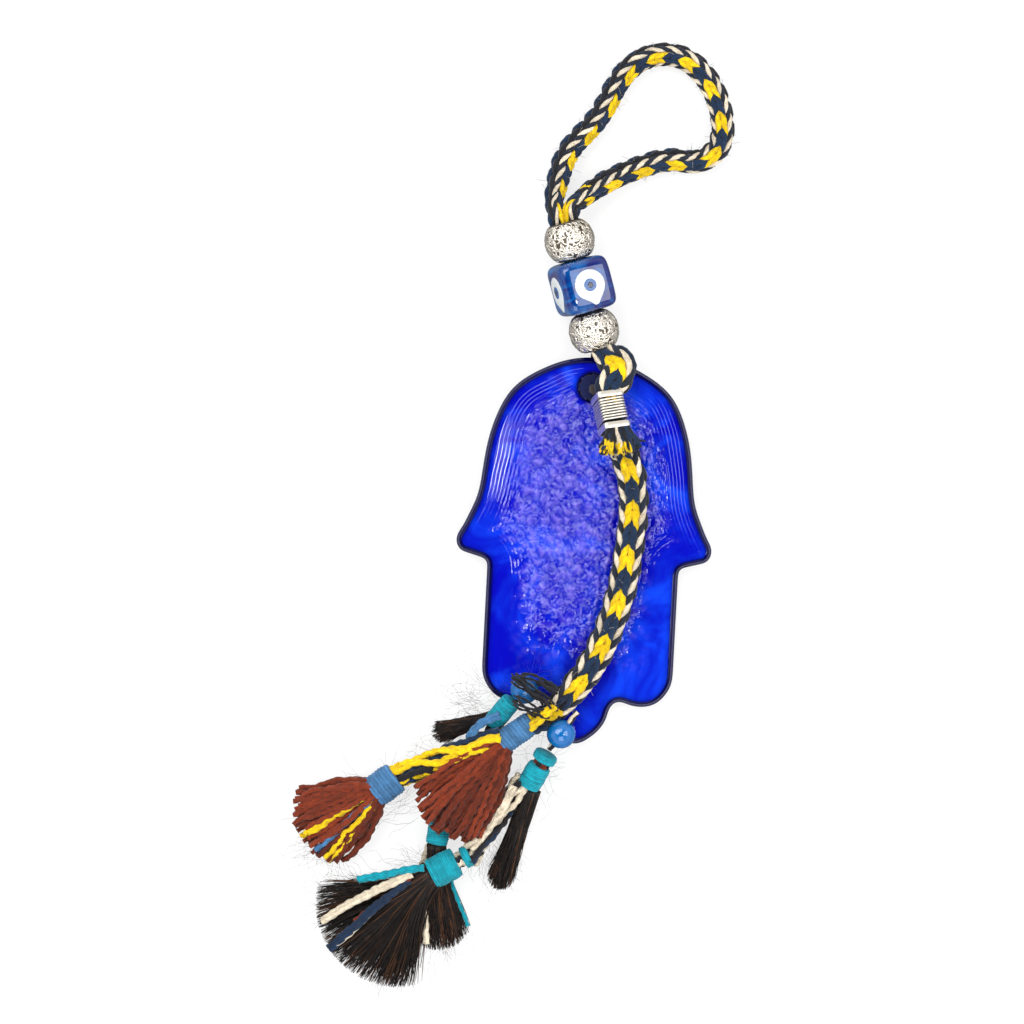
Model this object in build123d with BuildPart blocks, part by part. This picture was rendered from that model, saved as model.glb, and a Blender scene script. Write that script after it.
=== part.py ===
from build123d import *
import math
import os

# Hamsa hand ornament: a cast glass hand on a braided wool cord, with threaded beads and wool tassels.
# It lies on its back on a table. +Z is up, +Y points to the hanging loop and +X to the hand's right side.
# Millimetres and degrees. Headings are counted in the table's plane from +X, pitches upwards from it.

os.makedirs("parts", exist_ok=True)

# Glass hand
hand_length = 129.2
thumb_span = 85.4
palm_width = 63.8
glass_thickness = 4.8
rim_rounding = 2.2
hole_radius = 4.6
hole_drop = 10.0
thumb_corner_radius = 1.6
hand_lean = 2.96
rim_lift = 4.4
hole_x = 30.4
hole_y = 72.5

# Outline of the hand, right half, as shares of half the thumb span and of the hand's length from the top
arch_shares = (
    (0.40, 0.036), (0.62, 0.090), (0.726, 0.153), (0.787, 0.221),
    (0.824, 0.310), (0.857, 0.375), (0.920, 0.426), (0.988, 0.469),
)
arch_end_tangent = (0.55, -0.83)
thumb_tip_share = (1.0, 0.490)
thumb_end_share = (0.958, 0.515)
thumb_root_share = 0.534
side_end_share = 0.809
outer_finger_shares = ((0.687, 0.866), (0.503, 0.896))
middle_finger_shares = (
    (0.405, 0.891), (0.325, 0.885), (0.272, 0.899), (0.248, 0.926), (0.180, 0.965), (0.075, 0.993),
)

# Large beads on the doubled cord, from the hand's rim upwards
silver_bead_radius = 8.3
silver_bead_length = 12.7
large_bore_radius = 4.9
cube_side = 17.7
cube_corner_radius = 3.2
cube_roll = 15.8
bead_gap = 0.3
rim_gap = 2.6
column_heading = 105.35
column_pitch = 5.9
column_side_shift = 2.2
column_height = 8.5

# Inlaid eyes of the cube bead
eye_radius = 5.2
eye_point_radius = 1.3
eye_point_reach = 5.6
eye_turn = 97.5
eye_depth = 0.7
eye_stand = 0.15
iris_radius = 2.15
pupil_radius = 0.95

# Braided cord: free, and squeezed in the beads, behind the glass and in the clamp
loop_cord_diameter = 7.8
tail_cord_diameter = 8.4
squeezed_width = 7.4
squeezed_depth = 3.8
squeezed_offset = 2.1
behind_glass_diameter = 3.0
soft_clearance = 0.3
tassel_gap = 1.2
hinge_ball_radius = 1.9
hinge_ball_offset = 2.3

# Wire clamp on the cord
clamp_width = 9.2
clamp_depth = 9.6
clamp_length = 13.0
clamp_corner_radius = 1.6
clamp_heading = -77.8
clamp_pitch = 14.0
clamp_roll = -18.0
clamp_shift_x = 5.77
clamp_shift_y = -8.67
clamp_height = 15.9
wire_diameter = 0.66
wire_pitch = 1.08
winding_turns = 7
band_length = 2.2
band_thickness = 0.7
band_gap = 0.15

# Cut end of the cord below the clamp
cut_end_length = 8.5
cut_end_width = 13.0
cut_end_depth = 3.8
cut_end_lift = 0.4

# Small blue beads
small_bead_radius = 4.8
small_bore_radius = 1.5
strand_diameter = 2.4
left_bead_share = 0.65
right_bead_share = 0.46

# Strands between the tail's end and the tassels
centre_strand_length = 8.3
centre_strand_heading = -153.0
centre_strand_width = 6.2
centre_strand_rise = 0.3

# Centre tassel: steel-blue binding, red-brown fringe, link of yarns, second binding and fringe
centre_wrap_length = 13.4
centre_wrap_width = 8.2
centre_wrap_depth = 8.0
centre_wrap_heading = -145.1
centre_fringe_length = 33.0
centre_fringe_width = 27.0
centre_fringe_depth = 6.4
centre_fringe_heading = -125.0
centre_fringe_pitch = 6.0
centre_link_length = 33.5
centre_link_width = 4.2
centre_link_heading = -159.6
centre_link_pitch = -7.4
centre_end_wrap_length = 10.0
centre_end_wrap_width = 11.2
centre_end_wrap_depth = 10.0
centre_end_heading = -143.7
centre_end_fringe_length = 24.8
centre_end_fringe_width = 28.0
centre_end_fringe_depth = 8.4
centre_end_fringe_pitch = -1.0

# Left tassel: turquoise binding, dark hair, link of yarns, second binding and hair
left_wrap_length = 11.6
left_wrap_width = 7.0
left_wrap_heading = -129.4
left_wrap_pitch = -21.6
left_hair_length = 16.0
left_hair_width = 9.0
left_hair_depth = 3.4
left_hair_heading = -163.0
left_hair_pitch = -8.0
left_link_length = 33.0
left_link_width = 3.4
left_link_heading = -120.9
left_link_pitch = -0.8
left_end_wrap_length = 9.0
left_end_wrap_width = 7.6
left_end_wrap_heading = -100.0
left_end_hair_length = 33.8
left_end_hair_width = 19.5
left_end_hair_depth = 5.4
left_end_hair_heading = -89.0
left_end_hair_height = 3.0

# Right tassel: turquoise band and binding, dark hair, link of yarns, second band, binding and hair
right_band_length = 3.2
right_yarn_gap = 1.6
right_yarn_width = 5.6
right_wrap_length = 8.8
right_wrap_width = 8.2
right_wrap_heading = -119.7
right_wrap_pitch = -15.6
right_hair_length = 34.8
right_hair_width = 9.0
right_hair_depth = 5.0
right_hair_heading = -108.4
right_hair_pitch = -4.4
right_link_length = 27.0
right_link_width = 4.2
right_link_heading = -126.2
right_link_pitch = 4.0
right_end_band_length = 3.0
right_end_band_width = 7.4
right_end_yarn_gap = 1.8
right_end_wrap_length = 10.2
right_end_wrap_width = 10.4
right_end_wrap_depth = 8.0
right_end_heading = -153.4
right_end_hair_length = 37.9
right_end_hair_width = 41.0
right_end_hair_depth = 6.0
right_end_hair_heading = -136.0
right_end_hair_pitch = -8.6

# Outlines of bindings, links, fringes and hair, as shares of their length, width and depth
cut_end_shares = ((0, 0.58), (0.4, 0.8), (1, 1))
binding_shares = ((0, 0.84, 0.84), (0.5, 1, 1), (1, 0.84, 0.84))
link_shares = ((0, 1, 1), (0.5, 1.12, 1.12), (1, 1, 1))
fringe_shares = (
    (0, 0.155, 0.66), (0.3, 0.52, 0.92), (0.68, 0.86, 0.8), (0.92, 1, 0.62), (1, 0.9, 0.42),
)
end_fringe_shares = (
    (0, 0.28, 0.94), (0.3, 0.62, 1), (0.68, 0.9, 0.86), (0.92, 1, 0.64), (1, 0.88, 0.44),
)
narrow_hair_shares = ((0, 0.42, 0.8), (0.3, 0.9, 1), (0.7, 1, 0.86), (1, 0.76, 0.6))
low_hair_shares = (
    (0, 0.32, 1), (0.08, 0.34, 0.75), (0.16, 0.4, 0.5), (0.7, 0.84, 0.46), (1, 1, 0.4),
)
wide_hair_shares = (
    (0, 0.16, 0.9), (0.3, 0.56, 1), (0.62, 0.85, 0.84), (0.86, 1, 0.66), (1, 0.7, 0.46),
)

# Routes of the cord's free stretches, chosen by hand
loop_route = [
    (17.6, 134.5, 9.8), (19.2, 143.4, 6.4), (22.7, 152.6, 4.3), (33.0, 162.3, 3.9), (40.0, 177.0, 3.9),
    (49.0, 184.0, 3.9), (61.0, 183.7, 3.9), (70.0, 175.0, 3.9), (74.3, 163.0, 3.9), (73.7, 152.7, 3.9),
    (66.3, 147.3, 3.9), (55.7, 149.3, 3.9), (43.0, 145.0, 4.1), (33.0, 140.2, 6.2), (26.2, 134.8, 9.4),
]
tail_route = [
    (38.2, 55.6, 14.0), (43.0, 46.6, 12.8), (44.4, 33.3, 12.0), (42.6, 18.6, 11.4),
    (39.9, 3.3, 10.9), (34.0, -13.0, 10.4), (27.3, -24.7, 10.0), (18.1, -34.8, 9.8),
]
left_strand_route = [(18.3, -27.9, 10.7), (14.4, -22.9, 11.7), (4.4, -30.6, 9.7)]
right_strand_route = [(25.5, -35.4, 10.7), (23.4, -38.2, 10.6), (16.0, -48.1, 9.4)]
rear_leg_route = [
    (31.2, 88.3, 6.4), (31.9, 84.45, 5.4), (31.5, 82.6, 1.9),
    (30.2, 71.6, 1.9), (30.8, 72.2, 12.2), (34.5, 68.5, 12.6),
]

# The front pass over the rim: centre, heading, pitch, roll, width and depth of its sections
front_leg_sections = [
    ((34.4, 83.1, 12.1), -72.0, 8.0, 0.0, 9.2, 4.8),
    ((38.2, 80.6, 13.6), -68.0, 16.0, -4.0, 12.6, 6.8),
    ((38.2, 76.8, 14.8), -90.0, 14.0, -9.0, 11.0, 6.6),
    ((36.6, 73.2, 15.7), -92.0, 14.0, -15.0, 8.6, 5.0),
]


def direction(heading, pitch=0.0):
    """Unit vector along a heading in the table's plane, pitched upwards."""
    level = math.cos(math.radians(pitch))
    return Vector(
        level * math.cos(math.radians(heading)),
        level * math.sin(math.radians(heading)),
        math.sin(math.radians(pitch)),
    )


def turned(plane, angle):
    """The same plane, turned in itself about its own normal."""
    turn = math.radians(angle)
    new_x = plane.x_dir * math.cos(turn) + plane.y_dir * math.sin(turn)
    return Plane(origin=plane.origin, x_dir=new_x, z_dir=plane.z_dir)


def across(origin, heading, pitch=0.0, roll=0.0):
    """Plane square to a direction: local X to its left, local Y upwards, then rolled about it."""
    plane = Plane(origin=origin, x_dir=direction(heading + 90), z_dir=direction(heading, pitch))
    return turned(plane, roll)


def lengthwise(plane):
    """Plane through the same origin that holds the direction of the given plane as its local Y."""
    return Plane(origin=plane.origin, x_dir=plane.x_dir, z_dir=-plane.y_dir)


def save(builder, name):
    """Labels a finished piece and writes it."""
    builder.part.label = name
    export_step(builder.part, f"parts/{name}.step")


def corner_radii(route):
    """Radius of the arc at each inner point: 0.45 of the shorter run over the tangent of half the turn."""
    points = [Vector(*point) for point in route]
    radii = []
    for before, here, after in zip(points, points[1:], points[2:]):
        run_in, run_out = here - before, after - here
        half_turn = math.radians(run_in.get_angle(run_out)) / 2
        radii.append(0.45 * min(run_in.length, run_out.length) / math.tan(half_turn))
    return radii


def report_route(name, route, diameter, line, solid):
    """Prints the arcs of a cord and compares its volume with its section times its length."""
    radii = ", ".join(f"{radius:.1f}" for radius in corner_radii(route))
    section = math.pi * diameter ** 2 / 4
    length = sum(edge.length for edge in line.edges())
    print(f"{name}: length {length:.1f}, volume over section {solid.volume / section:.1f}, radii {radii}")


# Places that follow from the sizes above
half_span = thumb_span / 2
hand_tilt = math.degrees(math.asin(rim_lift / hand_length))
hole_height = rim_lift * (hand_length - hole_drop) / hand_length + glass_thickness / 2
hand_normal = Vector(0, 0, 1).rotate(Axis.X, hand_tilt).rotate(Axis.Z, -hand_lean)
hand_plane = Plane(origin=(hole_x, hole_y, hole_height), x_dir=direction(-hand_lean), z_dir=hand_normal)

mouth = Vector(hole_x + column_side_shift, hole_y + hole_drop + rim_gap, column_height)
column = across(mouth, column_heading, column_pitch)
cube_start = silver_bead_length + bead_gap
upper_start = cube_start + cube_side + bead_gap
column_length = upper_start + silver_bead_length

clamp_origin = Vector(hole_x + clamp_shift_x, hole_y + clamp_shift_y, clamp_height)
clamp_top = clamp_origin - direction(clamp_heading, clamp_pitch) * (clamp_length / 2)
clamp = across(clamp_top, clamp_heading, clamp_pitch, clamp_roll)


def outline_point(share):
    """A point of the hand's outline from its share of half the span and of the length."""
    return (half_span * share[0], hole_drop - hand_length * share[1])


# Glass hand
with BuildPart() as glass_hand:
    with BuildSketch(hand_plane.offset(-glass_thickness / 2)):
        with BuildLine():
            top = outline_point((0, 0))
            arch_points = [outline_point(share) for share in arch_shares]
            arch = Spline(top, *arch_points, tangents=((1, 0), arch_end_tangent))
            thumb_end = outline_point(thumb_end_share)
            ThreePointArc(arch @ 1, outline_point(thumb_tip_share), thumb_end)
            root = (palm_width / 2, hole_drop - hand_length * thumb_root_share)
            side_end = (palm_width / 2, hole_drop - hand_length * side_end_share)
            FilletPolyline(thumb_end, root, side_end, radius=thumb_corner_radius)
            finger_points = [outline_point(share) for share in outer_finger_shares]
            outer_finger = Spline(side_end, *finger_points, tangents=((0, -1), (-1, 0)))
            tip = outline_point((0, 1))
            tip_points = [outline_point(share) for share in middle_finger_shares]
            Spline(outer_finger @ 1, *tip_points, tip, tangents=((-1, 0), (-1, 0)))
            mirror(about=Plane.YZ)
        make_face()
        Circle(hole_radius, mode=Mode.SUBTRACT)
    extrude(amount=glass_thickness)
    level_faces = faces().sort_by(Axis(hand_plane.origin, hand_plane.z_dir))
    rims = level_faces[0].outer_wire().edges() + level_faces[-1].outer_wire().edges()
    fillet(rims, rim_rounding)
save(glass_hand, "glass_hand")


# Silver beads
def silver_bead(name, start):
    """A large-hole metal bead: an arc turned about the column, with a bore that takes two passes of cord."""
    half = silver_bead_length / 2
    middle = column.offset(start + half)
    shoulder = math.sqrt(silver_bead_radius ** 2 - half ** 2)
    with BuildPart() as bead:
        with BuildSketch(lengthwise(middle)):
            with BuildLine():
                ThreePointArc((shoulder, -half), (silver_bead_radius, 0), (shoulder, half))
                bore_line = [(large_bore_radius, half), (large_bore_radius, -half)]
                Polyline((shoulder, half), *bore_line, (shoulder, -half))
            make_face()
        revolve(axis=Axis(middle.origin, middle.z_dir))
    save(bead, name)


silver_bead("lower_silver_bead", 0)
silver_bead("upper_silver_bead", upper_start)

# Cube bead and the planes of its four side faces
cube_base = turned(column.offset(cube_start), cube_roll)
cube_middle = cube_base.offset(cube_side / 2)
eye_planes = []
for quarter in range(4):
    facing = turned(cube_middle, 90 * quarter)
    outward = Plane(origin=facing.origin, x_dir=facing.x_dir, z_dir=facing.y_dir)
    eye_planes.append(turned(outward.offset(cube_side / 2 - eye_depth), eye_turn))

with BuildPart() as cube_bead:
    with BuildSketch(cube_base):
        Rectangle(cube_side, cube_side)
    extrude(amount=cube_side)
    fillet(edges(), cube_corner_radius)
    with BuildSketch(cube_base):
        Circle(large_bore_radius)
    extrude(amount=cube_side, mode=Mode.SUBTRACT)
    for eye_plane in eye_planes:
        with BuildSketch(eye_plane):
            with BuildLine():
                CenterArc((0, 0), eye_radius, 0, 360)
                CenterArc((eye_point_reach, 0), eye_point_radius, 0, 360)
            make_hull()
        extrude(amount=eye_depth + eye_stand, mode=Mode.SUBTRACT)
save(cube_bead, "cube_bead")

with BuildPart() as eye_whites:
    for eye_plane in eye_planes:
        with BuildSketch(eye_plane):
            with BuildLine():
                CenterArc((0, 0), eye_radius, 0, 360)
                CenterArc((eye_point_reach, 0), eye_point_radius, 0, 360)
            make_hull()
            Circle(iris_radius, mode=Mode.SUBTRACT)
        extrude(amount=eye_depth + eye_stand)
save(eye_whites, "eye_whites")

with BuildPart() as eye_irises:
    for eye_plane in eye_planes:
        with BuildSketch(eye_plane):
            Circle(iris_radius)
            Circle(pupil_radius, mode=Mode.SUBTRACT)
        extrude(amount=eye_depth + eye_stand)
save(eye_irises, "eye_irises")

with BuildPart() as eye_pupils:
    for eye_plane in eye_planes:
        with BuildSketch(eye_plane):
            Circle(pupil_radius)
        extrude(amount=eye_depth + eye_stand)
save(eye_pupils, "eye_pupils")


def pass_plane(share, side):
    """Section plane of one pass of cord in the beads: above each other at the rim, side by side on top."""
    station = turned(column.offset(column_length * share), 90 * share)
    shift = station.y_dir * (side * squeezed_offset)
    return Plane(origin=station.origin + shift, x_dir=station.x_dir, z_dir=station.z_dir)


pass_shares = (0, 0.25, 0.5, 0.75, 1)

# Front pass of the cord: through the beads, over the rim and into the upper half of the clamp
upper_half = Plane(origin=clamp.origin + clamp.y_dir * squeezed_offset, x_dir=clamp.x_dir, z_dir=clamp.z_dir)
with BuildPart() as front_cord_leg:
    for share in reversed(pass_shares):
        section = pass_plane(share, 1)
        with BuildSketch(Plane(origin=section.origin, x_dir=-section.x_dir, z_dir=-section.z_dir)):
            Ellipse(squeezed_width / 2, squeezed_depth / 2)
    for centre, heading, pitch, roll, width, depth in front_leg_sections:
        with BuildSketch(across(Vector(*centre), heading, pitch, roll)):
            Ellipse(width / 2, depth / 2)
    for clamp_section in (upper_half, upper_half.offset(clamp_length)):
        with BuildSketch(clamp_section):
            Ellipse(squeezed_width / 2, squeezed_depth / 2)
    loft(ruled=True)
save(front_cord_leg, "front_cord_leg")

# Rear pass of the cord: behind the glass, up through the hole and into the lower half of the clamp
lower_half = Plane(origin=clamp.origin - clamp.y_dir * squeezed_offset, x_dir=clamp.x_dir, z_dir=clamp.z_dir)
with BuildPart() as rear_cord_leg:
    for share in pass_shares:
        with BuildSketch(pass_plane(share, -1)):
            Ellipse(squeezed_width / 2, squeezed_depth / 2)
    loft()
    with BuildLine() as rear_line:
        FilletPolyline(*rear_leg_route, radius=corner_radii(rear_leg_route))
    with BuildSketch(Plane(origin=rear_line.line @ 0, z_dir=rear_line.line % 0)):
        Circle(behind_glass_diameter / 2)
    sweep(path=rear_line.line)
    with BuildSketch(lower_half):
        Ellipse(squeezed_width / 2, squeezed_depth / 2)
    extrude(amount=clamp_length)
save(rear_cord_leg, "rear_cord_leg")

# Clamp: one unbroken wire wound round a rectangle, between two broad end bands
winding_start = band_length + band_gap + wire_diameter / 2
half_width = (clamp_width - wire_diameter) / 2
half_depth = (clamp_depth - wire_diameter) / 2
rectangle_corners = (
    (half_width, half_depth), (-half_width, half_depth),
    (-half_width, -half_depth), (half_width, -half_depth),
)
winding_points = [(half_width, 0, winding_start)]
for quarter in range(4 * winding_turns):
    corner_x, corner_y = rectangle_corners[quarter % 4]
    winding_points.append((corner_x, corner_y, winding_start + wire_pitch * (quarter + 0.5) / 4))
winding_points.append((half_width, 0, winding_start + wire_pitch * winding_turns))

with BuildPart() as clamp_winding:
    with BuildLine() as wire_line:
        wire_points = [clamp.from_local_coords(point) for point in winding_points]
        FilletPolyline(*wire_points, radius=clamp_corner_radius)
    with BuildSketch(Plane(origin=wire_line.line @ 0, z_dir=wire_line.line % 0)):
        Circle(wire_diameter / 2)
    sweep(path=wire_line.line)
save(clamp_winding, "clamp_winding")

sample_count = 600
samples = [wire_line.line @ (step / sample_count) for step in range(sample_count + 1)]
half_turn_steps = sample_count // (2 * winding_turns)
self_gap = min(
    (samples[first] - samples[second]).length
    for first in range(sample_count + 1)
    for second in range(first + half_turn_steps, sample_count + 1)
) - wire_diameter
print(f"clamp winding: least gap to itself {self_gap:.2f}")

with BuildPart() as clamp_end_bands:
    for start in (0, clamp_length - band_length):
        with BuildSketch(clamp.offset(start)):
            RectangleRounded(clamp_width, clamp_depth, clamp_corner_radius)
            RectangleRounded(
                clamp_width - 2 * band_thickness, clamp_depth - 2 * band_thickness,
                clamp_corner_radius - band_thickness, mode=Mode.SUBTRACT,
            )
        extrude(amount=band_length)
save(clamp_end_bands, "clamp_end_bands")

# Hanging loop: a free tube whose squeezed ends turn as balls in front of the upper bead's mouth
loop_hinge = column.offset(column_length + soft_clearance + hinge_ball_radius)
with BuildPart() as hanging_loop:
    with BuildLine() as loop_line:
        FilletPolyline(*loop_route, radius=corner_radii(loop_route))
    with BuildSketch(Plane(origin=loop_line.line @ 0, z_dir=loop_line.line % 0)):
        Circle(loop_cord_diameter / 2)
    sweep(path=loop_line.line)
    report_route("hanging_loop", loop_route, loop_cord_diameter, loop_line.line, hanging_loop.part)
    for side, end_plane in (
        (1, Plane(origin=loop_line.line @ 0, z_dir=-(loop_line.line % 0))),
        (-1, Plane(origin=loop_line.line @ 1, z_dir=loop_line.line % 1)),
    ):
        ball = loop_hinge.origin + loop_hinge.x_dir * (side * hinge_ball_offset)
        towards = (ball - end_plane.origin).normalized()
        with BuildSketch(end_plane):
            Circle(loop_cord_diameter / 2)
        with BuildSketch(Plane(origin=ball, x_dir=end_plane.x_dir, z_dir=towards)):
            Circle(hinge_ball_radius)
        loft()
        with Locations(ball):
            Sphere(hinge_ball_radius)
save(hanging_loop, "hanging_loop")

# Tail of the cord, over the glass
with BuildPart() as tail_braid:
    with BuildLine() as tail_line:
        FilletPolyline(*tail_route, radius=corner_radii(tail_route))
    with BuildSketch(Plane(origin=tail_line.line @ 0, z_dir=tail_line.line % 0)):
        Circle(tail_cord_diameter / 2)
    sweep(path=tail_line.line)
save(tail_braid, "tail_braid")
report_route("tail_braid", tail_route, tail_cord_diameter, tail_line.line, tail_braid.part)


def bundle(name, start, heading, pitch, length, width, depth, outline, level=False):
    """A bundle of yarn or hair: oval sections along a straight run, sized by the shares of its outline.

    A level bundle keeps its underside straight, so it can lie flat on the table.
    """
    base = across(start, heading, pitch)
    with BuildPart() as piece:
        for place, wide, deep in outline:
            sink = depth * (1 - deep) / 2 if level else 0
            with BuildSketch(base.offset(length * place)):
                with Locations((0, -sink)):
                    Ellipse(width * wide / 2, depth * deep / 2)
        loft()
    save(piece, name)


def beyond(start, heading, pitch, length, sideways=0.0):
    """The point at a distance along a direction, and to its left."""
    return start + direction(heading, pitch) * length + direction(heading + 90) * sideways


def strand(name, route):
    """A thin strand of yarn along its own route."""
    with BuildPart() as piece:
        with BuildLine() as line:
            FilletPolyline(*route, radius=corner_radii(route))
        with BuildSketch(Plane(origin=line.line @ 0, z_dir=line.line % 0)):
            Circle(strand_diameter / 2)
        sweep(path=line.line)
    save(piece, name)


def small_bead(name, route, share):
    """A round bead threaded on the last run of a strand."""
    run = Vector(*route[-1]) - Vector(*route[-2])
    centre = Vector(*route[-2]) + run * share
    with BuildPart() as bead:
        with Locations(centre):
            Sphere(small_bead_radius)
        along = run.normalized()
        with BuildSketch(Plane(origin=centre - along * small_bead_radius, z_dir=along)):
            Circle(small_bore_radius)
        extrude(amount=2 * small_bead_radius, mode=Mode.SUBTRACT)
    save(bead, name)


strand("left_strand", left_strand_route)
strand("right_strand", right_strand_route)
small_bead("left_small_bead", left_strand_route, left_bead_share)
small_bead("right_small_bead", right_strand_route, right_bead_share)

# Centre strand, from the tail's end to the first binding
tail_end = Vector(*tail_route[-1])
tail_out = (tail_end - Vector(*tail_route[-2])).normalized()
strand_end = beyond(tail_end, centre_strand_heading, 0, centre_strand_length)
centre_start = strand_end + Vector(0, 0, centre_strand_rise)
centre_strand_end = centre_start - direction(centre_wrap_heading) * soft_clearance
with BuildPart() as centre_strand:
    with BuildSketch(Plane(origin=tail_end + tail_out * soft_clearance, z_dir=tail_out)):
        Circle(centre_strand_width / 2)
    with BuildSketch(across(centre_strand_end, centre_wrap_heading)):
        Circle(centre_strand_width / 2)
    loft()
save(centre_strand, "centre_strand")

# Centre tassel
bundle(
    "centre_wrap", centre_start, centre_wrap_heading, 0,
    centre_wrap_length, centre_wrap_width, centre_wrap_depth, binding_shares,
)
centre_half = (centre_link_width + soft_clearance) / 2
centre_end = beyond(centre_start, centre_wrap_heading, 0, centre_wrap_length + tassel_gap)
centre_fringe_start = beyond(centre_end, centre_wrap_heading, 0, 0, centre_half)
bundle(
    "centre_fringe", centre_fringe_start, centre_fringe_heading, centre_fringe_pitch,
    centre_fringe_length, centre_fringe_width, centre_fringe_depth, fringe_shares,
)
centre_link_start = beyond(centre_end, centre_wrap_heading, 0, 0, -centre_half)
bundle(
    "centre_link", centre_link_start, centre_link_heading, centre_link_pitch,
    centre_link_length, centre_link_width, centre_link_width, link_shares,
)
centre_link_reach = centre_link_length + tassel_gap
second_start = beyond(centre_link_start, centre_link_heading, centre_link_pitch, centre_link_reach)
bundle(
    "centre_end_wrap", second_start, centre_end_heading, 0,
    centre_end_wrap_length, centre_end_wrap_width, centre_end_wrap_depth, binding_shares,
)
second_end = beyond(second_start, centre_end_heading, 0, centre_end_wrap_length + soft_clearance)
bundle(
    "centre_end_fringe", second_end, centre_end_heading, centre_end_fringe_pitch,
    centre_end_fringe_length, centre_end_fringe_width, centre_end_fringe_depth, end_fringe_shares,
)

# Left tassel
left_start = Vector(*left_strand_route[-1]) + direction(left_wrap_heading) * tassel_gap
bundle(
    "left_wrap", left_start, left_wrap_heading, left_wrap_pitch,
    left_wrap_length, left_wrap_width, left_wrap_width, binding_shares,
)
left_half = (left_link_width + soft_clearance) / 2
left_end = beyond(left_start, left_wrap_heading, left_wrap_pitch, left_wrap_length + tassel_gap)
bundle(
    "left_hair", beyond(left_end, left_wrap_heading, 0, 0, -left_half), left_hair_heading, left_hair_pitch,
    left_hair_length, left_hair_width, left_hair_depth, narrow_hair_shares,
)
left_link_start = beyond(left_end, left_wrap_heading, 0, 0, left_half)
bundle(
    "left_link", left_link_start, left_link_heading, left_link_pitch,
    left_link_length, left_link_width, left_link_width, link_shares,
)
left_second = beyond(left_link_start, left_link_heading, left_link_pitch, left_link_length + tassel_gap)
bundle(
    "left_end_wrap", left_second, left_end_wrap_heading, 0,
    left_end_wrap_length, left_end_wrap_width, left_end_wrap_width, binding_shares,
)
left_second_end = beyond(left_second, left_end_wrap_heading, 0, left_end_wrap_length + tassel_gap)
left_hair_start = Vector(left_second_end.X, left_second_end.Y, left_end_hair_height)
bundle(
    "left_end_hair", left_hair_start, left_end_hair_heading, 0,
    left_end_hair_length, left_end_hair_width, left_end_hair_depth, low_hair_shares, level=True,
)

# Right tassel
right_start = Vector(*right_strand_route[-1]) + direction(right_wrap_heading) * tassel_gap
bundle(
    "right_top_band", right_start, right_wrap_heading, right_wrap_pitch,
    right_band_length, right_wrap_width, right_wrap_width, binding_shares,
)
right_gap_start = beyond(right_start, right_wrap_heading, right_wrap_pitch, right_band_length)
bundle(
    "right_gap_yarns", right_gap_start, right_wrap_heading, right_wrap_pitch,
    right_yarn_gap, right_yarn_width, right_yarn_width, link_shares,
)
right_wrap_start = beyond(right_gap_start, right_wrap_heading, right_wrap_pitch, right_yarn_gap)
bundle(
    "right_wrap", right_wrap_start, right_wrap_heading, right_wrap_pitch,
    right_wrap_length, right_wrap_width, right_wrap_width, binding_shares,
)
right_half = (right_link_width + soft_clearance) / 2
right_end = beyond(right_wrap_start, right_wrap_heading, right_wrap_pitch, right_wrap_length + tassel_gap)
right_fringe_start = beyond(right_end, right_wrap_heading, 0, 0, right_half)
bundle(
    "right_hair", right_fringe_start, right_hair_heading, right_hair_pitch,
    right_hair_length, right_hair_width, right_hair_depth, narrow_hair_shares,
)
right_link_start = beyond(right_end, right_wrap_heading, 0, 0, -right_half)
bundle(
    "right_link", right_link_start, right_link_heading, right_link_pitch,
    right_link_length, right_link_width, right_link_width, link_shares,
)
right_second = beyond(right_link_start, right_link_heading, right_link_pitch, right_link_length + tassel_gap)
bundle(
    "right_end_band", right_second, right_end_heading, 0,
    right_end_band_length, right_end_band_width, right_end_band_width, binding_shares,
)
right_second_gap = beyond(right_second, right_end_heading, 0, right_end_band_length)
bundle(
    "right_end_gap_yarns", right_second_gap, right_end_heading, 0,
    right_end_yarn_gap, right_yarn_width, right_yarn_width, link_shares,
)
right_second_wrap = beyond(right_second_gap, right_end_heading, 0, right_end_yarn_gap)
bundle(
    "right_end_wrap", right_second_wrap, right_end_heading, 0,
    right_end_wrap_length, right_end_wrap_width, right_end_wrap_depth, binding_shares,
)
right_hair_start = beyond(right_second_wrap, right_end_heading, 0, right_end_wrap_length + tassel_gap)
bundle(
    "right_end_hair", right_hair_start, right_end_hair_heading, right_end_hair_pitch,
    right_end_hair_length, right_end_hair_width, right_end_hair_depth, wide_hair_shares,
)

# Cut end of the front pass, just below the clamp and over the tail
cut_base = upper_half.offset(clamp_length + soft_clearance)
cut_start = Plane(
    origin=cut_base.origin + cut_base.y_dir * cut_end_lift, x_dir=cut_base.x_dir, z_dir=cut_base.z_dir,
)
with BuildPart() as cut_end:
    for place, wide in cut_end_shares:
        with BuildSketch(cut_start.offset(cut_end_length * place)):
            Ellipse(cut_end_width * wide / 2, cut_end_depth / 2)
    loft()
save(cut_end, "cut_end")
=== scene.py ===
import math

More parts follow.
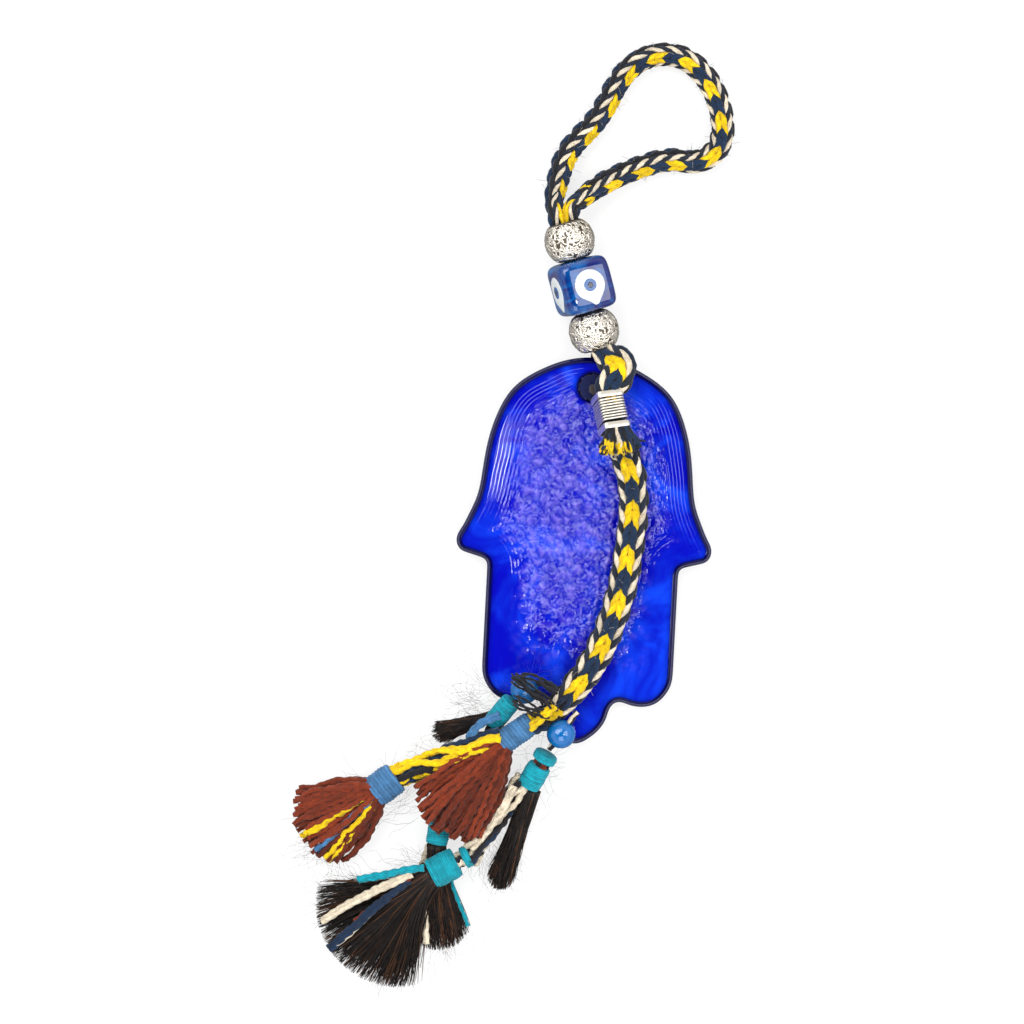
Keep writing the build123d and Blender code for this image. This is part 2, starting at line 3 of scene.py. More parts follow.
import bpy
import numpy as np
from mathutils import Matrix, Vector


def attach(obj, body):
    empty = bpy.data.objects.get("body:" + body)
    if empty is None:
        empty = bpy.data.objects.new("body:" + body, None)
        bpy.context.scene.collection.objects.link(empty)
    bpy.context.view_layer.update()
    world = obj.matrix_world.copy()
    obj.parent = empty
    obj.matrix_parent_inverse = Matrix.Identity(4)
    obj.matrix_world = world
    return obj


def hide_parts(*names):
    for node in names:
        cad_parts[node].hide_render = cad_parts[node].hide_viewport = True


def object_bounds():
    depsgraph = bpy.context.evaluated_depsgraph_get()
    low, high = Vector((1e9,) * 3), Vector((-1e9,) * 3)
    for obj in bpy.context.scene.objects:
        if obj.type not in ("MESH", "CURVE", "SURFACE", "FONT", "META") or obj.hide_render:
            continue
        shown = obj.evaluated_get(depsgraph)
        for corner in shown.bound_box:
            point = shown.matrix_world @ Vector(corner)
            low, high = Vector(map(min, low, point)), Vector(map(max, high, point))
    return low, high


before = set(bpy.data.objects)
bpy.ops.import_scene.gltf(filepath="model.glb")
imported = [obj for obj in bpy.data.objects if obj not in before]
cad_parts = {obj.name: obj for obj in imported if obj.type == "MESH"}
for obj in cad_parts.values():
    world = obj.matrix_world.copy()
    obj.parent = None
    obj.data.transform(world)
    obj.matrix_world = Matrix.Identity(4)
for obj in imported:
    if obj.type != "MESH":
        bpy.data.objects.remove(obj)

bl_info = {
    "name": "Hamsa Hand Ornament",
    "version": (1, 0, 0),
    "blender": (4, 5, 0),
    "location": "View3D > Sidebar > Ornament",
    "description": "Builds a cast glass hand on a braided cord with beads, a wire clamp and wool tassels",
    "category": "Add Mesh",
}

MM = 0.001
UV_LENGTH = 10.0
UP = np.array((0.0, 0.0, 1.0))
CAD_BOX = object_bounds()

# The photograph: its size in pixels, pixels per millimetre, the pixel above the frame's origin, and the
# camera's height and the height that it shows at this scale, in millimetres
PHOTO_SIZE = 1024
PIXELS_PER_MM = 3.0
ORIGIN_PIXEL = (501.0, 605.0)
CAMERA_HEIGHT = 1206.0
SHARP_HEIGHT = 6.0
SENSOR_WIDTH = 36.0

# Cord routes, the same points as the part's source, in metres
LOOP_ROUTE = [
    (0.0176, 0.1345, 0.0098), (0.0192, 0.1434, 0.0064), (0.0227, 0.1526, 0.0043), (0.0330, 0.1623, 0.0039),
    (0.0400, 0.1770, 0.0039), (0.0490, 0.1840, 0.0039), (0.0610, 0.1837, 0.0039), (0.0700, 0.1750, 0.0039),
    (0.0743, 0.1630, 0.0039), (0.0737, 0.1527, 0.0039), (0.0663, 0.1473, 0.0039), (0.0557, 0.1493, 0.0039),
    (0.0430, 0.1450, 0.0041), (0.0330, 0.1402, 0.0062), (0.0262, 0.1348, 0.0094),
]
TAIL_ROUTE = [
    (0.0382, 0.0556, 0.0140), (0.0430, 0.0466, 0.0128), (0.0444, 0.0333, 0.0120), (0.0426, 0.0186, 0.0114),
    (0.0399, 0.0033, 0.0109), (0.0340, -0.0130, 0.0104), (0.0273, -0.0247, 0.0100), (0.0181, -0.0348, 0.0098),
]
FRONT_LEG_ROUTE = [
    (0.0312, 0.0905, 0.0112), (0.0324, 0.0853, 0.0110), (0.0360, 0.0822, 0.0128), (0.0396, 0.0796, 0.0140),
    (0.0386, 0.0756, 0.0152), (0.0358, 0.0728, 0.0158), (0.0352, 0.0696, 0.0165), (0.0366, 0.0640, 0.0179),
]
REAR_LEG_ROUTE = [
    (0.0308, 0.0905, 0.0064), (0.0312, 0.0883, 0.0064), (0.0319, 0.08445, 0.0054), (0.0315, 0.0826, 0.0019),
    (0.0302, 0.0716, 0.0019), (0.0308, 0.0722, 0.0122), (0.0345, 0.0685, 0.0126), (0.0362, 0.0610, 0.0145),
]
LEFT_STRAND_ROUTE = [(0.0183, -0.0279, 0.0107), (0.0144, -0.0229, 0.0117), (0.0044, -0.0306, 0.0097)]
RIGHT_STRAND_ROUTE = [(0.0255, -0.0354, 0.0107), (0.0234, -0.0382, 0.0106), (0.0160, -0.0481, 0.0094)]
CENTRE_STRAND_ROUTE = [(0.0189, -0.0339, 0.0098), (0.0146, -0.0371, 0.0099), (0.0100, -0.0392, 0.0101)]
LEFT_BEAD_SHARE = 0.65
RIGHT_BEAD_SHARE = 0.46

# Glass hand, in millimetres
HOLE_CENTRE = np.array((30.4, 72.5, 6.459))
HAND_LEAN = 2.96
HAND_LENGTH = 129.2
RIM_LIFT = 4.4
GLASS_HALF = 2.4
RIM_ROUNDING = 2.2
HOLE_RADIUS = 4.6
RIDGE_PITCH = 1.25

# Beads
COLUMN_MOUTH = np.array((32.6, 85.1, 8.5))
COLUMN_HEADING, COLUMN_PITCH = 105.35, 5.9
BEAD_RADIUS, BEAD_LENGTH, BORE_RADIUS = 8.3, 12.7, 4.9
CUBE_SIDE, CUBE_ROLL, CUBE_ROUNDNESS = 17.7, 15.8, 6.2
BEAD_GAP = 0.3
COLUMN_LENGTH = 2 * BEAD_LENGTH + CUBE_SIDE + 2 * BEAD_GAP
SMALL_BEAD_RADIUS, SMALL_BORE_RADIUS = 4.8, 1.5

# Wire clamp
CLAMP_TOP = np.array((34.837, 69.995, 14.328))
CLAMP_HEADING, CLAMP_PITCH, CLAMP_ROLL = -77.8, 14.0, -18.0
CLAMP_WIDTH, CLAMP_DEPTH, CLAMP_LENGTH = 9.2, 9.6, 13.0
BAND_LENGTH = 2.2


def linear(red, green, blue):
    """A colour from its 0 to 255 display values, as linear shares."""
    shares = np.array((red, green, blue)) / 255
    curved = ((shares + 0.055) / 1.055) ** 2.4
    return tuple(float(value) for value in np.where(shares <= 0.04045, shares / 12.92, curved))


def colour_property(name, description, red, green, blue):
    """A colour the user may change, with its default as display values."""
    return bpy.props.FloatVectorProperty(
        name=name, description=description, subtype="COLOR", size=3, min=0, max=1,
        default=linear(red, green, blue),
    )


class OrnamentColours(bpy.types.PropertyGroup):
    """Colours of the yarns, the glass and the metal."""

    yellow: colour_property("Yellow yarn", "Chevrons on the braid's face", 238, 198, 6)
    cream: colour_property("Cream yarn", "Slanted stitches beside the chevrons", 222, 208, 184)
    navy: colour_property("Navy yarn", "Stitches between the chevrons", 22, 44, 72)
    black: colour_property("Black yarn", "Edges and back of the braid", 27, 28, 34)
    steel_blue: colour_property("Steel-blue yarn", "Bindings of the centre tassel", 66, 116, 162)
    turquoise: colour_property("Turquoise thread", "Bindings of the side tassels", 0, 150, 168)
    red_brown: colour_property("Red-brown wool", "Fringes of the centre tassel", 116, 43, 18)
    hair: colour_property("Dark hair", "Hair of the side tassels", 25, 19, 17)
    brown: colour_property("Brown hair", "Lighter streaks in the hair", 88, 55, 33)
    glass: colour_property("Hand glass", "Body of the glass hand", 2, 6, 176)
    glass_bright: colour_property("Hand glass, bright", "Thin and lit places of the glass hand", 14, 66, 232)
    # Painted glint: lavender laid on the tops of the hand's pebbles, where lamps would catch them.
    glass_painted_glint: colour_property("Hand glass, pale", "Glints on the pebbles of the glass hand", 136, 116, 232)
    # Painted shade: dark blue laid on the hand's rim, back and hole, and mixed into the knot in the hole.
    glass_rim_painted_shade: colour_property("Hand glass, rim", "Dark edge of the glass hand", 3, 2, 62)
    cube: colour_property("Cube glass", "Body of the cube bead", 0, 20, 96)
    cube_light: colour_property("Cube glass, light", "Swirls in the cube bead", 0, 88, 156)
    sky: colour_property("Sky blue", "Eye irises and small beads", 12, 104, 176)
    silver: colour_property("Silver", "Large metal beads and the wire", 240, 234, 222)
    tarnish: colour_property("Tarnish", "Grooves of the metal beads", 96, 88, 78)


class OrnamentSizes(bpy.types.PropertyGroup):
    """Counts and thicknesses that set how full the braid and the tassels are."""

    tail_row: bpy.props.FloatProperty(
        name="Tail stitch row", description="One row of stitches on the tail, mm", default=3.8, min=2.0,
    )
    loop_row: bpy.props.FloatProperty(
        name="Loop stitch row", description="One row of stitches on the loop, mm", default=3.0, min=2.0,
    )
    fringe_count: bpy.props.IntProperty(
        name="Fringe yarns", description="Yarns in each red-brown fringe", default=78, min=10,
    )
    yarn_radius: bpy.props.FloatProperty(
        name="Yarn radius", description="Radius of a fringe yarn, mm", default=0.92, min=0.3,
    )
    hair_count: bpy.props.IntProperty(
        name="Hairs", description="Hairs in the widest lock", default=1500, min=100,
    )
    hair_radius: bpy.props.FloatProperty(
        name="Hair radius", description="Radius of one hair, mm", default=0.17, min=0.02,
    )


def colour(name):
    """One of the panel's colours as an array."""
    return np.array(getattr(bpy.context.scene.ornament_colours, name))


def rgba(name):
    """One of the panel's colours with full alpha, as a socket takes it."""
    return (*colour(name), 1)


def sizes():
    """The panel's sizes."""
    return bpy.context.scene.ornament_sizes


# Geometry helpers, all in millimetres and on whole arrays

def unit(vectors):
    """Vectors divided by their lengths."""
    return vectors / np.maximum(np.linalg.norm(vectors, axis=-1, keepdims=True), 1e-9)


def heading_vector(heading, pitch=0.0):
    """Unit vector along a heading in the table's plane, pitched upwards."""
    level = math.cos(math.radians(pitch))
    turn = math.radians(heading)
    return np.array((level * math.cos(turn), level * math.sin(turn), math.sin(math.radians(pitch))))


def turned_axes(first, second, degrees):
    """Two axes turned about their common normal."""
    turn = math.radians(degrees)
    return first * math.cos(turn) + second * math.sin(turn), second * math.cos(turn) - first * math.sin(turn)


def section_axes(heading, pitch=0.0, roll=0.0):
    """Left, up and forward axes of a section square to a heading, rolled about it."""
    along = heading_vector(heading, pitch)
    left = heading_vector(heading + 90)
    up = np.cross(left, -along)
    up = up if up[2] > 0 else -up
    return *turned_axes(left, up, roll), along


def circle(count):
    """Evenly spaced angles once round, in radians."""
    return np.linspace(0, 2 * np.pi, count, endpoint=False)


def ring_around(angle, first, second):
    """Directions cos a first + sin a second."""
    return np.cos(angle)[:, None] * first + np.sin(angle)[:, None] * second


def level_ways(turn, rise=0.0):
    """Vectors along headings in radians, with an upward part."""
    return np.stack((np.cos(turn), np.sin(turn), np.full(len(turn), rise)), axis=1)


def ramp(value, start, width, low=0.0):
    """Share that grows from low at the start to 1 a width further."""
    return np.clip((value - start) / width, low, 1)


def kept_above(points, height):
    """The same points, with none under a height."""
    points[..., 2] = np.maximum(points[..., 2], height)
    return points


def photo_point(x, y, z):
    """The point at height z that the camera sees at a pixel of the photograph."""
    centre = (np.array((PHOTO_SIZE, PHOTO_SIZE)) / 2 - ORIGIN_PIXEL) / PIXELS_PER_MM * (1, -1)
    offset = (np.array((x, y)) - PHOTO_SIZE / 2) / PIXELS_PER_MM * (1, -1)
    share = (CAMERA_HEIGHT - z) / (CAMERA_HEIGHT - SHARP_HEIGHT)
    return np.append(centre + offset * share, z)


def smooth_line(points):
    """Points of the smooth NURBS line that has the given points, in millimetres, as its controls."""
    curve = bpy.data.curves.new("route", "CURVE")
    curve.dimensions = "3D"
    spline = curve.splines.new("NURBS")
    spline.points.add(len(points) - 1)
    controls = np.column_stack((np.array(points, float), np.ones(len(points))))
    spline.points.foreach_set("co", controls.ravel())
    spline.order_u = 3
    spline.use_endpoint_u = True
    curve.resolution_u = 16
    holder = bpy.data.objects.new("route", curve)
    bpy.context.scene.collection.objects.link(holder)
    bpy.context.view_layer.update()
    line = bpy.data.meshes.new_from_object(holder)
    found = np.zeros(len(line.vertices) * 3)
    line.vertices.foreach_get("co", found)
    bpy.data.objects.remove(holder)
    bpy.data.meshes.remove(line)
    return found.reshape(-1, 3)


def lengths_along(lines):
    """Distance along lines shaped (..., points, axes) at each of their points."""
    steps = np.linalg.norm(np.diff(lines, axis=-2), axis=-1)
    return np.concatenate((np.zeros((*lines.shape[:-2], 1)), np.cumsum(steps, axis=-1)), axis=-1)


def read_along(where, places, values):
    """Values shaped (points, axes), known at places along a line, read at other places."""
    return np.stack([np.interp(where, places, column) for column in values.T], axis=-1)


def resample(points, count):
    """The same line as evenly spaced points."""
    places = lengths_along(points)
    return read_along(np.linspace(0, places[-1], count), places, points)


def line_frames(points):
    """Side, up and forward axes at each point of lines shaped (..., points, 3); up leans towards the sky."""
    along = unit(np.gradient(points, axis=-2))
    side = unit(np.cross(UP, along) + np.array((1e-6, 0, 0)))
    return side, np.cross(along, side), along


def tubes(points, radius, sides=8, plies=0, twist_pitch=4.0, lobe=0.16, flat=1.0):
    """Tubes round lines: point + r (cos a side + flat sin a up), where r swells with the plies as they twist.

    Lines are (pieces, points, 3). The result is (pieces, points, sides, 3).
    """
    side, up, _ = line_frames(points)
    angle = circle(sides)
    radius = np.broadcast_to(np.asarray(radius, float), points.shape[:2])[..., None]
    if plies:
        phase = plies * (angle - 2 * np.pi * lengths_along(points)[..., None] / twist_pitch / plies)
        radius = radius * (1 - lobe + lobe * np.abs(np.cos(phase / 2)) * 2)
    across = np.cos(angle)[:, None] * side[..., None, :] + flat * np.sin(angle)[:, None] * up[..., None, :]
    return points[..., None, :] + radius[..., None] * across


def surface(grid, tint, closed_rows=False):
    """Quads of grids shaped (pieces, rows, columns, 3), whose columns close round.

    Columns run anticlockwise seen from the last row. Open ends get one flat face each. The result is
    points, corners, the first corner of each face, UV places in centimetres along the line, and tints.
    """
    pieces, rows, columns = grid.shape[:3]
    index = np.arange(pieces * rows * columns).reshape(pieces, rows, columns)
    beside = np.roll(index, -1, axis=2)
    places = lengths_along(grid.mean(axis=2))
    u = np.broadcast_to(np.arange(columns) / columns, index.shape)
    v = np.broadcast_to(places[..., None], index.shape) / UV_LENGTH
    far_index, far_beside, far_v = (np.roll(part, -1, axis=1) for part in (index, beside, v))
    near_index, near_beside, near_v = index, beside, v
    if not closed_rows:
        near_index, near_beside, near_v, u = (part[:, :-1] for part in (index, beside, v, u))
        far_index, far_beside, far_v = (part[:, :-1] for part in (far_index, far_beside, far_v))
    quads = np.stack((near_index, near_beside, far_beside, far_index), axis=-1).reshape(-1, 4)
    u_beside = u + 1 / columns
    uv = np.stack((
        np.stack((u, near_v), -1), np.stack((u_beside, near_v), -1),
        np.stack((u_beside, far_v), -1), np.stack((u, far_v), -1),
    ), axis=-2).reshape(-1, 2)
    loops, starts = quads.ravel(), np.arange(len(quads)) * 4
    if not closed_rows:
        ends = np.concatenate((index[:, 0, ::-1], index[:, -1, :]))
        starts = np.append(starts, len(loops) + np.arange(len(ends)) * columns)
        loops = np.append(loops, ends.ravel())
        uv = np.concatenate((uv, np.zeros((ends.size, 2))))
    if np.ndim(tint) == 2:
        tint = np.asarray(tint)[:, None, None, :]
    colours = np.broadcast_to(tint, grid.shape)
    return grid.reshape(-1, 3), loops, starts, uv, colours.reshape(-1, 3)


def fill(values, key, array, kind=np.float32):
    """Write an array into a mesh's own list of values."""
    values.foreach_set(key, array.astype(kind).ravel())


def make_piece(name, surfaces, material, body, replaced=(), extra=None):
    """One mesh object from several surfaces, riding on a body and standing for CAD nodes."""
    points, loops, starts, uv, tint = zip(*surfaces)
    first_points = np.cumsum([0] + [len(part) for part in points])
    first_loops = np.cumsum([0] + [len(part) for part in loops])
    points, uv, tint = np.concatenate(points) * MM, np.concatenate(uv), np.concatenate(tint)
    loops = np.concatenate([part + shift for part, shift in zip(loops, first_points)])
    starts = np.concatenate([part + shift for part, shift in zip(starts, first_loops)])
    mesh = bpy.data.meshes.new(name)
    mesh.vertices.add(len(points))
    fill(mesh.vertices, "co", points)
    mesh.loops.add(len(loops))
    fill(mesh.loops, "vertex_index", loops, np.int32)
    mesh.polygons.add(len(starts))
    fill(mesh.polygons, "loop_start", starts, np.int32)
    mesh.update(calc_edges=True)
    fill(mesh.polygons, "use_smooth", np.ones(len(starts)), bool)
    fill(mesh.uv_layers.new(name="yarn").data, "uv", uv)
    shade = mesh.color_attributes.new("tint", "FLOAT_COLOR", "POINT")
    fill(shade.data, "color", np.column_stack((tint, np.ones(len(tint)))))
    for key, values in (extra or {}).items():
        fill(mesh.attributes.new(key, "FLOAT", "POINT").data, "value", values)
    mesh.validate()
    mesh.materials.append(material)
    piece = bpy.data.objects.new(name, mesh)
    bpy.context.scene.collection.objects.link(piece)
    if body:
        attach(piece, body)
    if replaced:
        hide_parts(*replaced)
    return piece


# Node helpers: an input is given a value, or an output to link to it

def set_inputs(tree, node, inputs):
    """Give a node's sockets their values, or link them to the outputs given."""
    for key, value in inputs.items():
        if isinstance(value, bpy.types.NodeSocket):
            tree.links.new(value, node.inputs[key])
        else:
            node.inputs[key].default_value = value


def add_node(tree, kind, inputs=None, **settings):
    """A node with the given settings and inputs."""
    node = tree.nodes.new(kind)
    for key, value in settings.items():
        setattr(node, key, value)
    set_inputs(tree, node, inputs or {})
    return node


def maths(tree, kind, first, second=0.0):
    """Output of a sum, product or other operation on two numbers."""
    return add_node(tree, "ShaderNodeMath", {0: first, 1: second}, operation=kind).outputs[0]


def vector_maths(tree, kind, first, second):
    """Output of an operation on two vectors."""
    return add_node(tree, "ShaderNodeVectorMath", {0: first, 1: second}, operation=kind).outputs[0]


def map_range(tree, value, low=0.0, high=1.0, to_low=0.0, to_high=1.0, smooth=False):
    """Output that goes from to_low to to_high while the value goes from low to high."""
    ends = {"Value": value, "From Min": low, "From Max": high, "To Min": to_low, "To Max": to_high}
    kind = "SMOOTHSTEP" if smooth else "LINEAR"
    return add_node(tree, "ShaderNodeMapRange", ends, interpolation_type=kind).outputs[0]


def mix_colours(tree, share, first, second, blend="MIX"):
    """Output of a mix of two colours."""
    inputs = {"Factor": share, 6: first, 7: second}
    return add_node(tree, "ShaderNodeMix", inputs, data_type="RGBA", blend_type=blend).outputs[2]


def noise(tree, place, scale, detail, output=0, **other):
    """Output of a noise texture: its value, or its colour as output 1."""
    inputs = {"Vector": place, "Scale": scale, "Detail": detail, **other}
    return add_node(tree, "ShaderNodeTexNoise", inputs).outputs[output]


def own_place(tree):
    """Output of the piece's own coordinates."""
    return add_node(tree, "ShaderNodeTexCoord").outputs["Object"]


def field(tree, name, output="Fac"):
    """Output of one of the mesh's attributes."""
    return add_node(tree, "ShaderNodeAttribute", attribute_name=name).outputs[output]


def bump(tree, height, strength, distance):
    """Output of the normal that a height gives."""
    inputs = {"Height": height, "Strength": strength, "Distance": distance}
    return add_node(tree, "ShaderNodeBump", inputs).outputs[0]


GREY = (0.5, 0.5, 0.5, 1)


def group_tree(name, inputs, outputs):
    """A new shader group with its sockets, and its two end nodes."""
    tree = bpy.data.node_groups.new(name, "ShaderNodeTree")
    for label, kind, default in inputs:
        socket = tree.interface.new_socket(name=label, in_out="INPUT", socket_type=kind)
        socket.default_value = default
    for label, kind in outputs:
        tree.interface.new_socket(name=label, in_out="OUTPUT", socket_type=kind)
    return tree, tree.nodes.new("NodeGroupInput").outputs, tree.nodes.new("NodeGroupOutput")


def place_group(tree, group, inputs):
    """Outputs of a shader group placed in a material."""
    return add_node(tree, "ShaderNodeGroup", inputs, node_tree=group).outputs


def fibre_group():
    """Wool or thread fibres: fine noise drawn out along the yarn's UV, as a mottled colour and a height."""
    if "fibres" in bpy.data.node_groups:
        return bpy.data.node_groups["fibres"]
    tree, given, result = group_tree(
        "fibres",
        [("Colour", "NodeSocketColor", GREY), ("Fineness", "NodeSocketFloat", 1.0),
         ("Shade", "NodeSocketFloat", 0.35)],
        [("Colour", "NodeSocketColor"), ("Height", "NodeSocketFloat")],
    )
    on_yarn = add_node(tree, "ShaderNodeUVMap", uv_map="yarn").outputs[0]
    drawn_out = vector_maths(tree, "MULTIPLY", on_yarn, (9.0, 7.0, 1.0))
    fine = noise(tree, drawn_out, given["Fineness"], 4.0, Roughness=0.7)
    patch = noise(tree, own_place(tree), 420.0, 3.0, Roughness=0.6)
    height = maths(tree, "ADD", fine, patch)
    darkest = maths(tree, "SUBTRACT", 1.0, given["Shade"])
    light = map_range(tree, height, 0.7, 1.35, darkest, 1.15)
    shaded = mix_colours(tree, 1.0, given["Colour"], light, "MULTIPLY")
    set_inputs(tree, result, {"Colour": shaded, "Height": height})
    return tree


def mottle_group():
    """Cloudy glass: one colour drifts into another with a warped noise on object coordinates."""
    if "mottle" in bpy.data.node_groups:
        return bpy.data.node_groups["mottle"]
    tree, given, result = group_tree(
        "mottle",
        [("Colour", "NodeSocketColor", GREY), ("Other", "NodeSocketColor", GREY),
         ("Scale", "NodeSocketFloat", 60.0), ("Low", "NodeSocketFloat", 0.4),
         ("High", "NodeSocketFloat", 0.7)],
        [("Colour", "NodeSocketColor")],
    )
    cloud = noise(tree, own_place(tree), given["Scale"], 4.0, Roughness=0.55, Distortion=1.2)
    mask = map_range(tree, cloud, given["Low"], given["High"], smooth=True)
    set_inputs(tree, result, {"Colour": mix_colours(tree, mask, given["Colour"], given["Other"])})
    return tree


def cast_relief_group():
    """Cast glass: fine ridges that run along the rim, and a middle hammered in warped cells of two sizes;
    also a painted glint share on the tops of the pebbles.
    """
    tree, given, result = group_tree(
        "cast_relief",
        [(label, "NodeSocketFloat", 0.0) for label in ("Edge", "Ridges", "Hammer")],
        [("Height", "NodeSocketFloat"), ("Painted Glint", "NodeSocketFloat")],
    )
    place = own_place(tree)
    drift = maths(tree, "MULTIPLY", noise(tree, place, 42.0, 1.0), 3.0)
    turns = maths(tree, "MULTIPLY", maths(tree, "ADD", given["Edge"], drift), 2 * math.pi / RIDGE_PITCH)
    ridges = maths(tree, "MULTIPLY", maths(tree, "SINE", turns), given["Ridges"])
    push = vector_maths(tree, "MULTIPLY", noise(tree, place, 150.0, 2.0, output=1), (0.0035, 0.0035, 0.0))
    warped = vector_maths(tree, "ADD", place, push)

    def cells(scale):
        """Smooth distance from the middles of warped cells."""
        inputs = {"Vector": warped, "Scale": scale, "Smoothness": 0.3}
        return add_node(tree, "ShaderNodeTexVoronoi", inputs, feature="SMOOTH_F1").outputs["Distance"]

    large = maths(tree, "SUBTRACT", 1.0, cells(350.0))
    domes = maths(tree, "ADD", large, maths(tree, "MULTIPLY", cells(800.0), -0.22))
    grain = maths(tree, "MULTIPLY", noise(tree, place, 620.0, 2.0), 0.3)
    pebbles = maths(tree, "ADD", domes, grain)
    hammered = maths(tree, "MULTIPLY", maths(tree, "MULTIPLY", pebbles, given["Hammer"]), 1.3)
    # Painted glint: paler colour on the tops of the pebbles, where lamps would catch them.
    painted_glint = map_range(tree, pebbles, 0.42, 0.98, smooth=True)
    set_inputs(tree, result, {
        "Height": maths(tree, "ADD", maths(tree, "MULTIPLY", ridges, 0.045), hammered),
        "Painted Glint": maths(tree, "MULTIPLY", painted_glint, given["Hammer"]),
    })
    return tree


def new_material(name):
    """A material with its tree and its Principled shader."""
    made = bpy.data.materials.new(name)
    made.use_nodes = True
    return made, made.node_tree, made.node_tree.nodes["Principled BSDF"]


def fibre_material(name, fineness, shade, roughness, sheen, strength):
    """Yarn, thread or hair: the piece's own tint, mottled and ridged by its fibres."""
    if name in bpy.data.materials:
        return bpy.data.materials[name]
    made, tree, shader = new_material(name)
    tint = field(tree, "tint", "Color")
    fibres = place_group(tree, fibre_group(), {"Fineness": fineness, "Shade": shade, "Colour": tint})
    set_inputs(tree, shader, {
        "Base Color": fibres["Colour"], "Normal": bump(tree, fibres["Height"], strength, 0.0003),
        "Roughness": roughness, "Sheen Weight": sheen, "Sheen Roughness": 0.5, "Specular IOR Level": 0.25,
    })
    return made


def wool():
    """Matt plied wool."""
    return fibre_material("wool", fineness=1.6, shade=0.5, roughness=0.9, sheen=0.12, strength=0.7)


def thread():
    """Tightly wound thread."""
    return fibre_material("bound_thread", fineness=2.4, shade=0.42, roughness=0.72, sheen=0.08, strength=0.45)


def hair():
    """Smooth dark hair."""
    return fibre_material("hair", fineness=1.0, shade=0.35, roughness=0.42, sheen=0.0, strength=0.25)


def glass_material():
    """Cobalt glass: deep blue with brighter clouds, painted glints on the pebbles, painted shade at the rim
    and round the hole, and a polished face.
    """
    made, tree, shader = new_material("cobalt_glass")
    clouds = place_group(tree, mottle_group(), {
        "Colour": rgba("glass"), "Other": rgba("glass_bright"), "Scale": 40.0, "Low": 0.40, "High": 0.74,
    })
    rim = field(tree, "rim")
    # Painted shade: the rim attribute darkens the blue towards the edge, the back and round the hole.
    body = mix_colours(tree, rim, clouds["Colour"], rgba("glass_rim_painted_shade"))
    fields = {key: field(tree, key.lower()) for key in ("Edge", "Ridges", "Hammer")}
    relief = place_group(tree, cast_relief_group(), fields)
    # Painted glint: lavender laid on the pebble tops.
    painted_glint = maths(tree, "MULTIPLY", relief["Painted Glint"], 0.46)
    set_inputs(tree, shader, {
        "Base Color": mix_colours(tree, painted_glint, body, rgba("glass_painted_glint")),
        "Normal": bump(tree, relief["Height"], 0.85, 0.001),
        "Specular IOR Level": map_range(tree, rim, to_low=0.5, to_high=0.0),
        "Roughness": 0.06, "IOR": 1.5, "Transmission Weight": 0.15,
    })
    return made


def enamel_material(name, tone, other, scale, low=0.45, high=0.7):
    """Polished opaque glass with faint clouds of a second colour."""
    made, tree, shader = new_material(name)
    clouds = place_group(tree, mottle_group(), {
        "Colour": (*tone, 1), "Other": (*other, 1), "Scale": scale, "Low": low, "High": high,
    })
    ripple = noise(tree, own_place(tree), 260.0, 2.0)
    set_inputs(tree, shader, {
        "Base Color": clouds["Colour"], "Normal": bump(tree, ripple, 0.08, 0.0005),
        "Roughness": 0.08, "IOR": 1.5, "Coat Weight": 0.5, "Coat Roughness": 0.04,
    })
    return made


def silver_material():
    """Antiqued silver: the relief attribute goes from tarnished groove to bright ridge."""
    made, tree, shader = new_material("antique_silver")
    relief = field(tree, "relief")
    grain = noise(tree, own_place(tree), 900.0, 3.0)
    set_inputs(tree, shader, {
        "Base Color": mix_colours(tree, relief, rgba("tarnish"), rgba("silver")),
        "Roughness": map_range(tree, relief, to_low=0.55, to_high=0.28),
        "Metallic": 1.0, "Normal": bump(tree, grain, 0.15, 0.0002),
    })
    return made


def wire_material():
    """Bright plated wire with faint drawing marks along it."""
    made, tree, shader = new_material("bright_wire")
    marks = noise(tree, own_place(tree), 700.0, 3.0)
    set_inputs(tree, shader, {
        "Base Color": mix_colours(tree, marks, (*colour("silver") * 0.8, 1), rgba("silver")),
        "Metallic": 1.0, "Roughness": 0.34, "Normal": bump(tree, marks, 0.05, 0.0002),
    })
    return made


# Braid: columns of stitches round the cord. Angle from the middle of the face, drift of the angle along a
# stitch, length and pitch in rows, yarn radius as a share of the half width, shift in rows, colour pattern
BRAID_COLUMNS = (
    (17, 30, 2.15, 1, 0.215, 0.0, "chevron"),
    (-17, -30, 2.15, 1, 0.215, 0.0, "chevron"),
    (58, -44, 2.5, 1, 0.20, 0.45, "flank"),
    (-58, 44, 2.5, 1, 0.20, 0.45, "flank"),
    (97, 36, 2.8, 2, 0.32, 0.2, "edge"),
    (-97, -36, 2.8, 2, 0.32, 1.2, "edge"),
    (146, -30, 2.5, 2, 0.33, 0.9, "back"),
    (-146, 30, 2.5, 2, 0.33, 0.3, "back"),
    (180, 20, 2.2, 2, 0.30, 0.0, "back"),
)
STITCH_POINTS, STITCH_SIDES = 10, 8
STITCH_SINK = 0.95
STITCH_DIVE = 2.6
CORE_SHARE = 0.72
TABLE_CLEARANCE = 0.02


def stitch_colours(pattern, rows, rng):
    """Colour of each stitch in a column, with a little change from one to the next."""
    dark_flank = colour("black") * 1.1 + colour("navy") * 0.25
    tones = {
        "chevron": np.where(((rows // 2) % 2 == 0)[:, None], colour("yellow"), colour("navy")),
        "flank": np.where((rows % 2 == 0)[:, None], colour("cream"), dark_flank),
        "edge": np.where((rows % 4 < 3)[:, None], colour("black"), colour("navy") * 0.6),
        "back": np.where((rows % 2 == 0)[:, None], colour("navy"), colour("black")),
    }[pattern]
    return tones * rng.uniform(0.86, 1.14, (len(rows), 1))


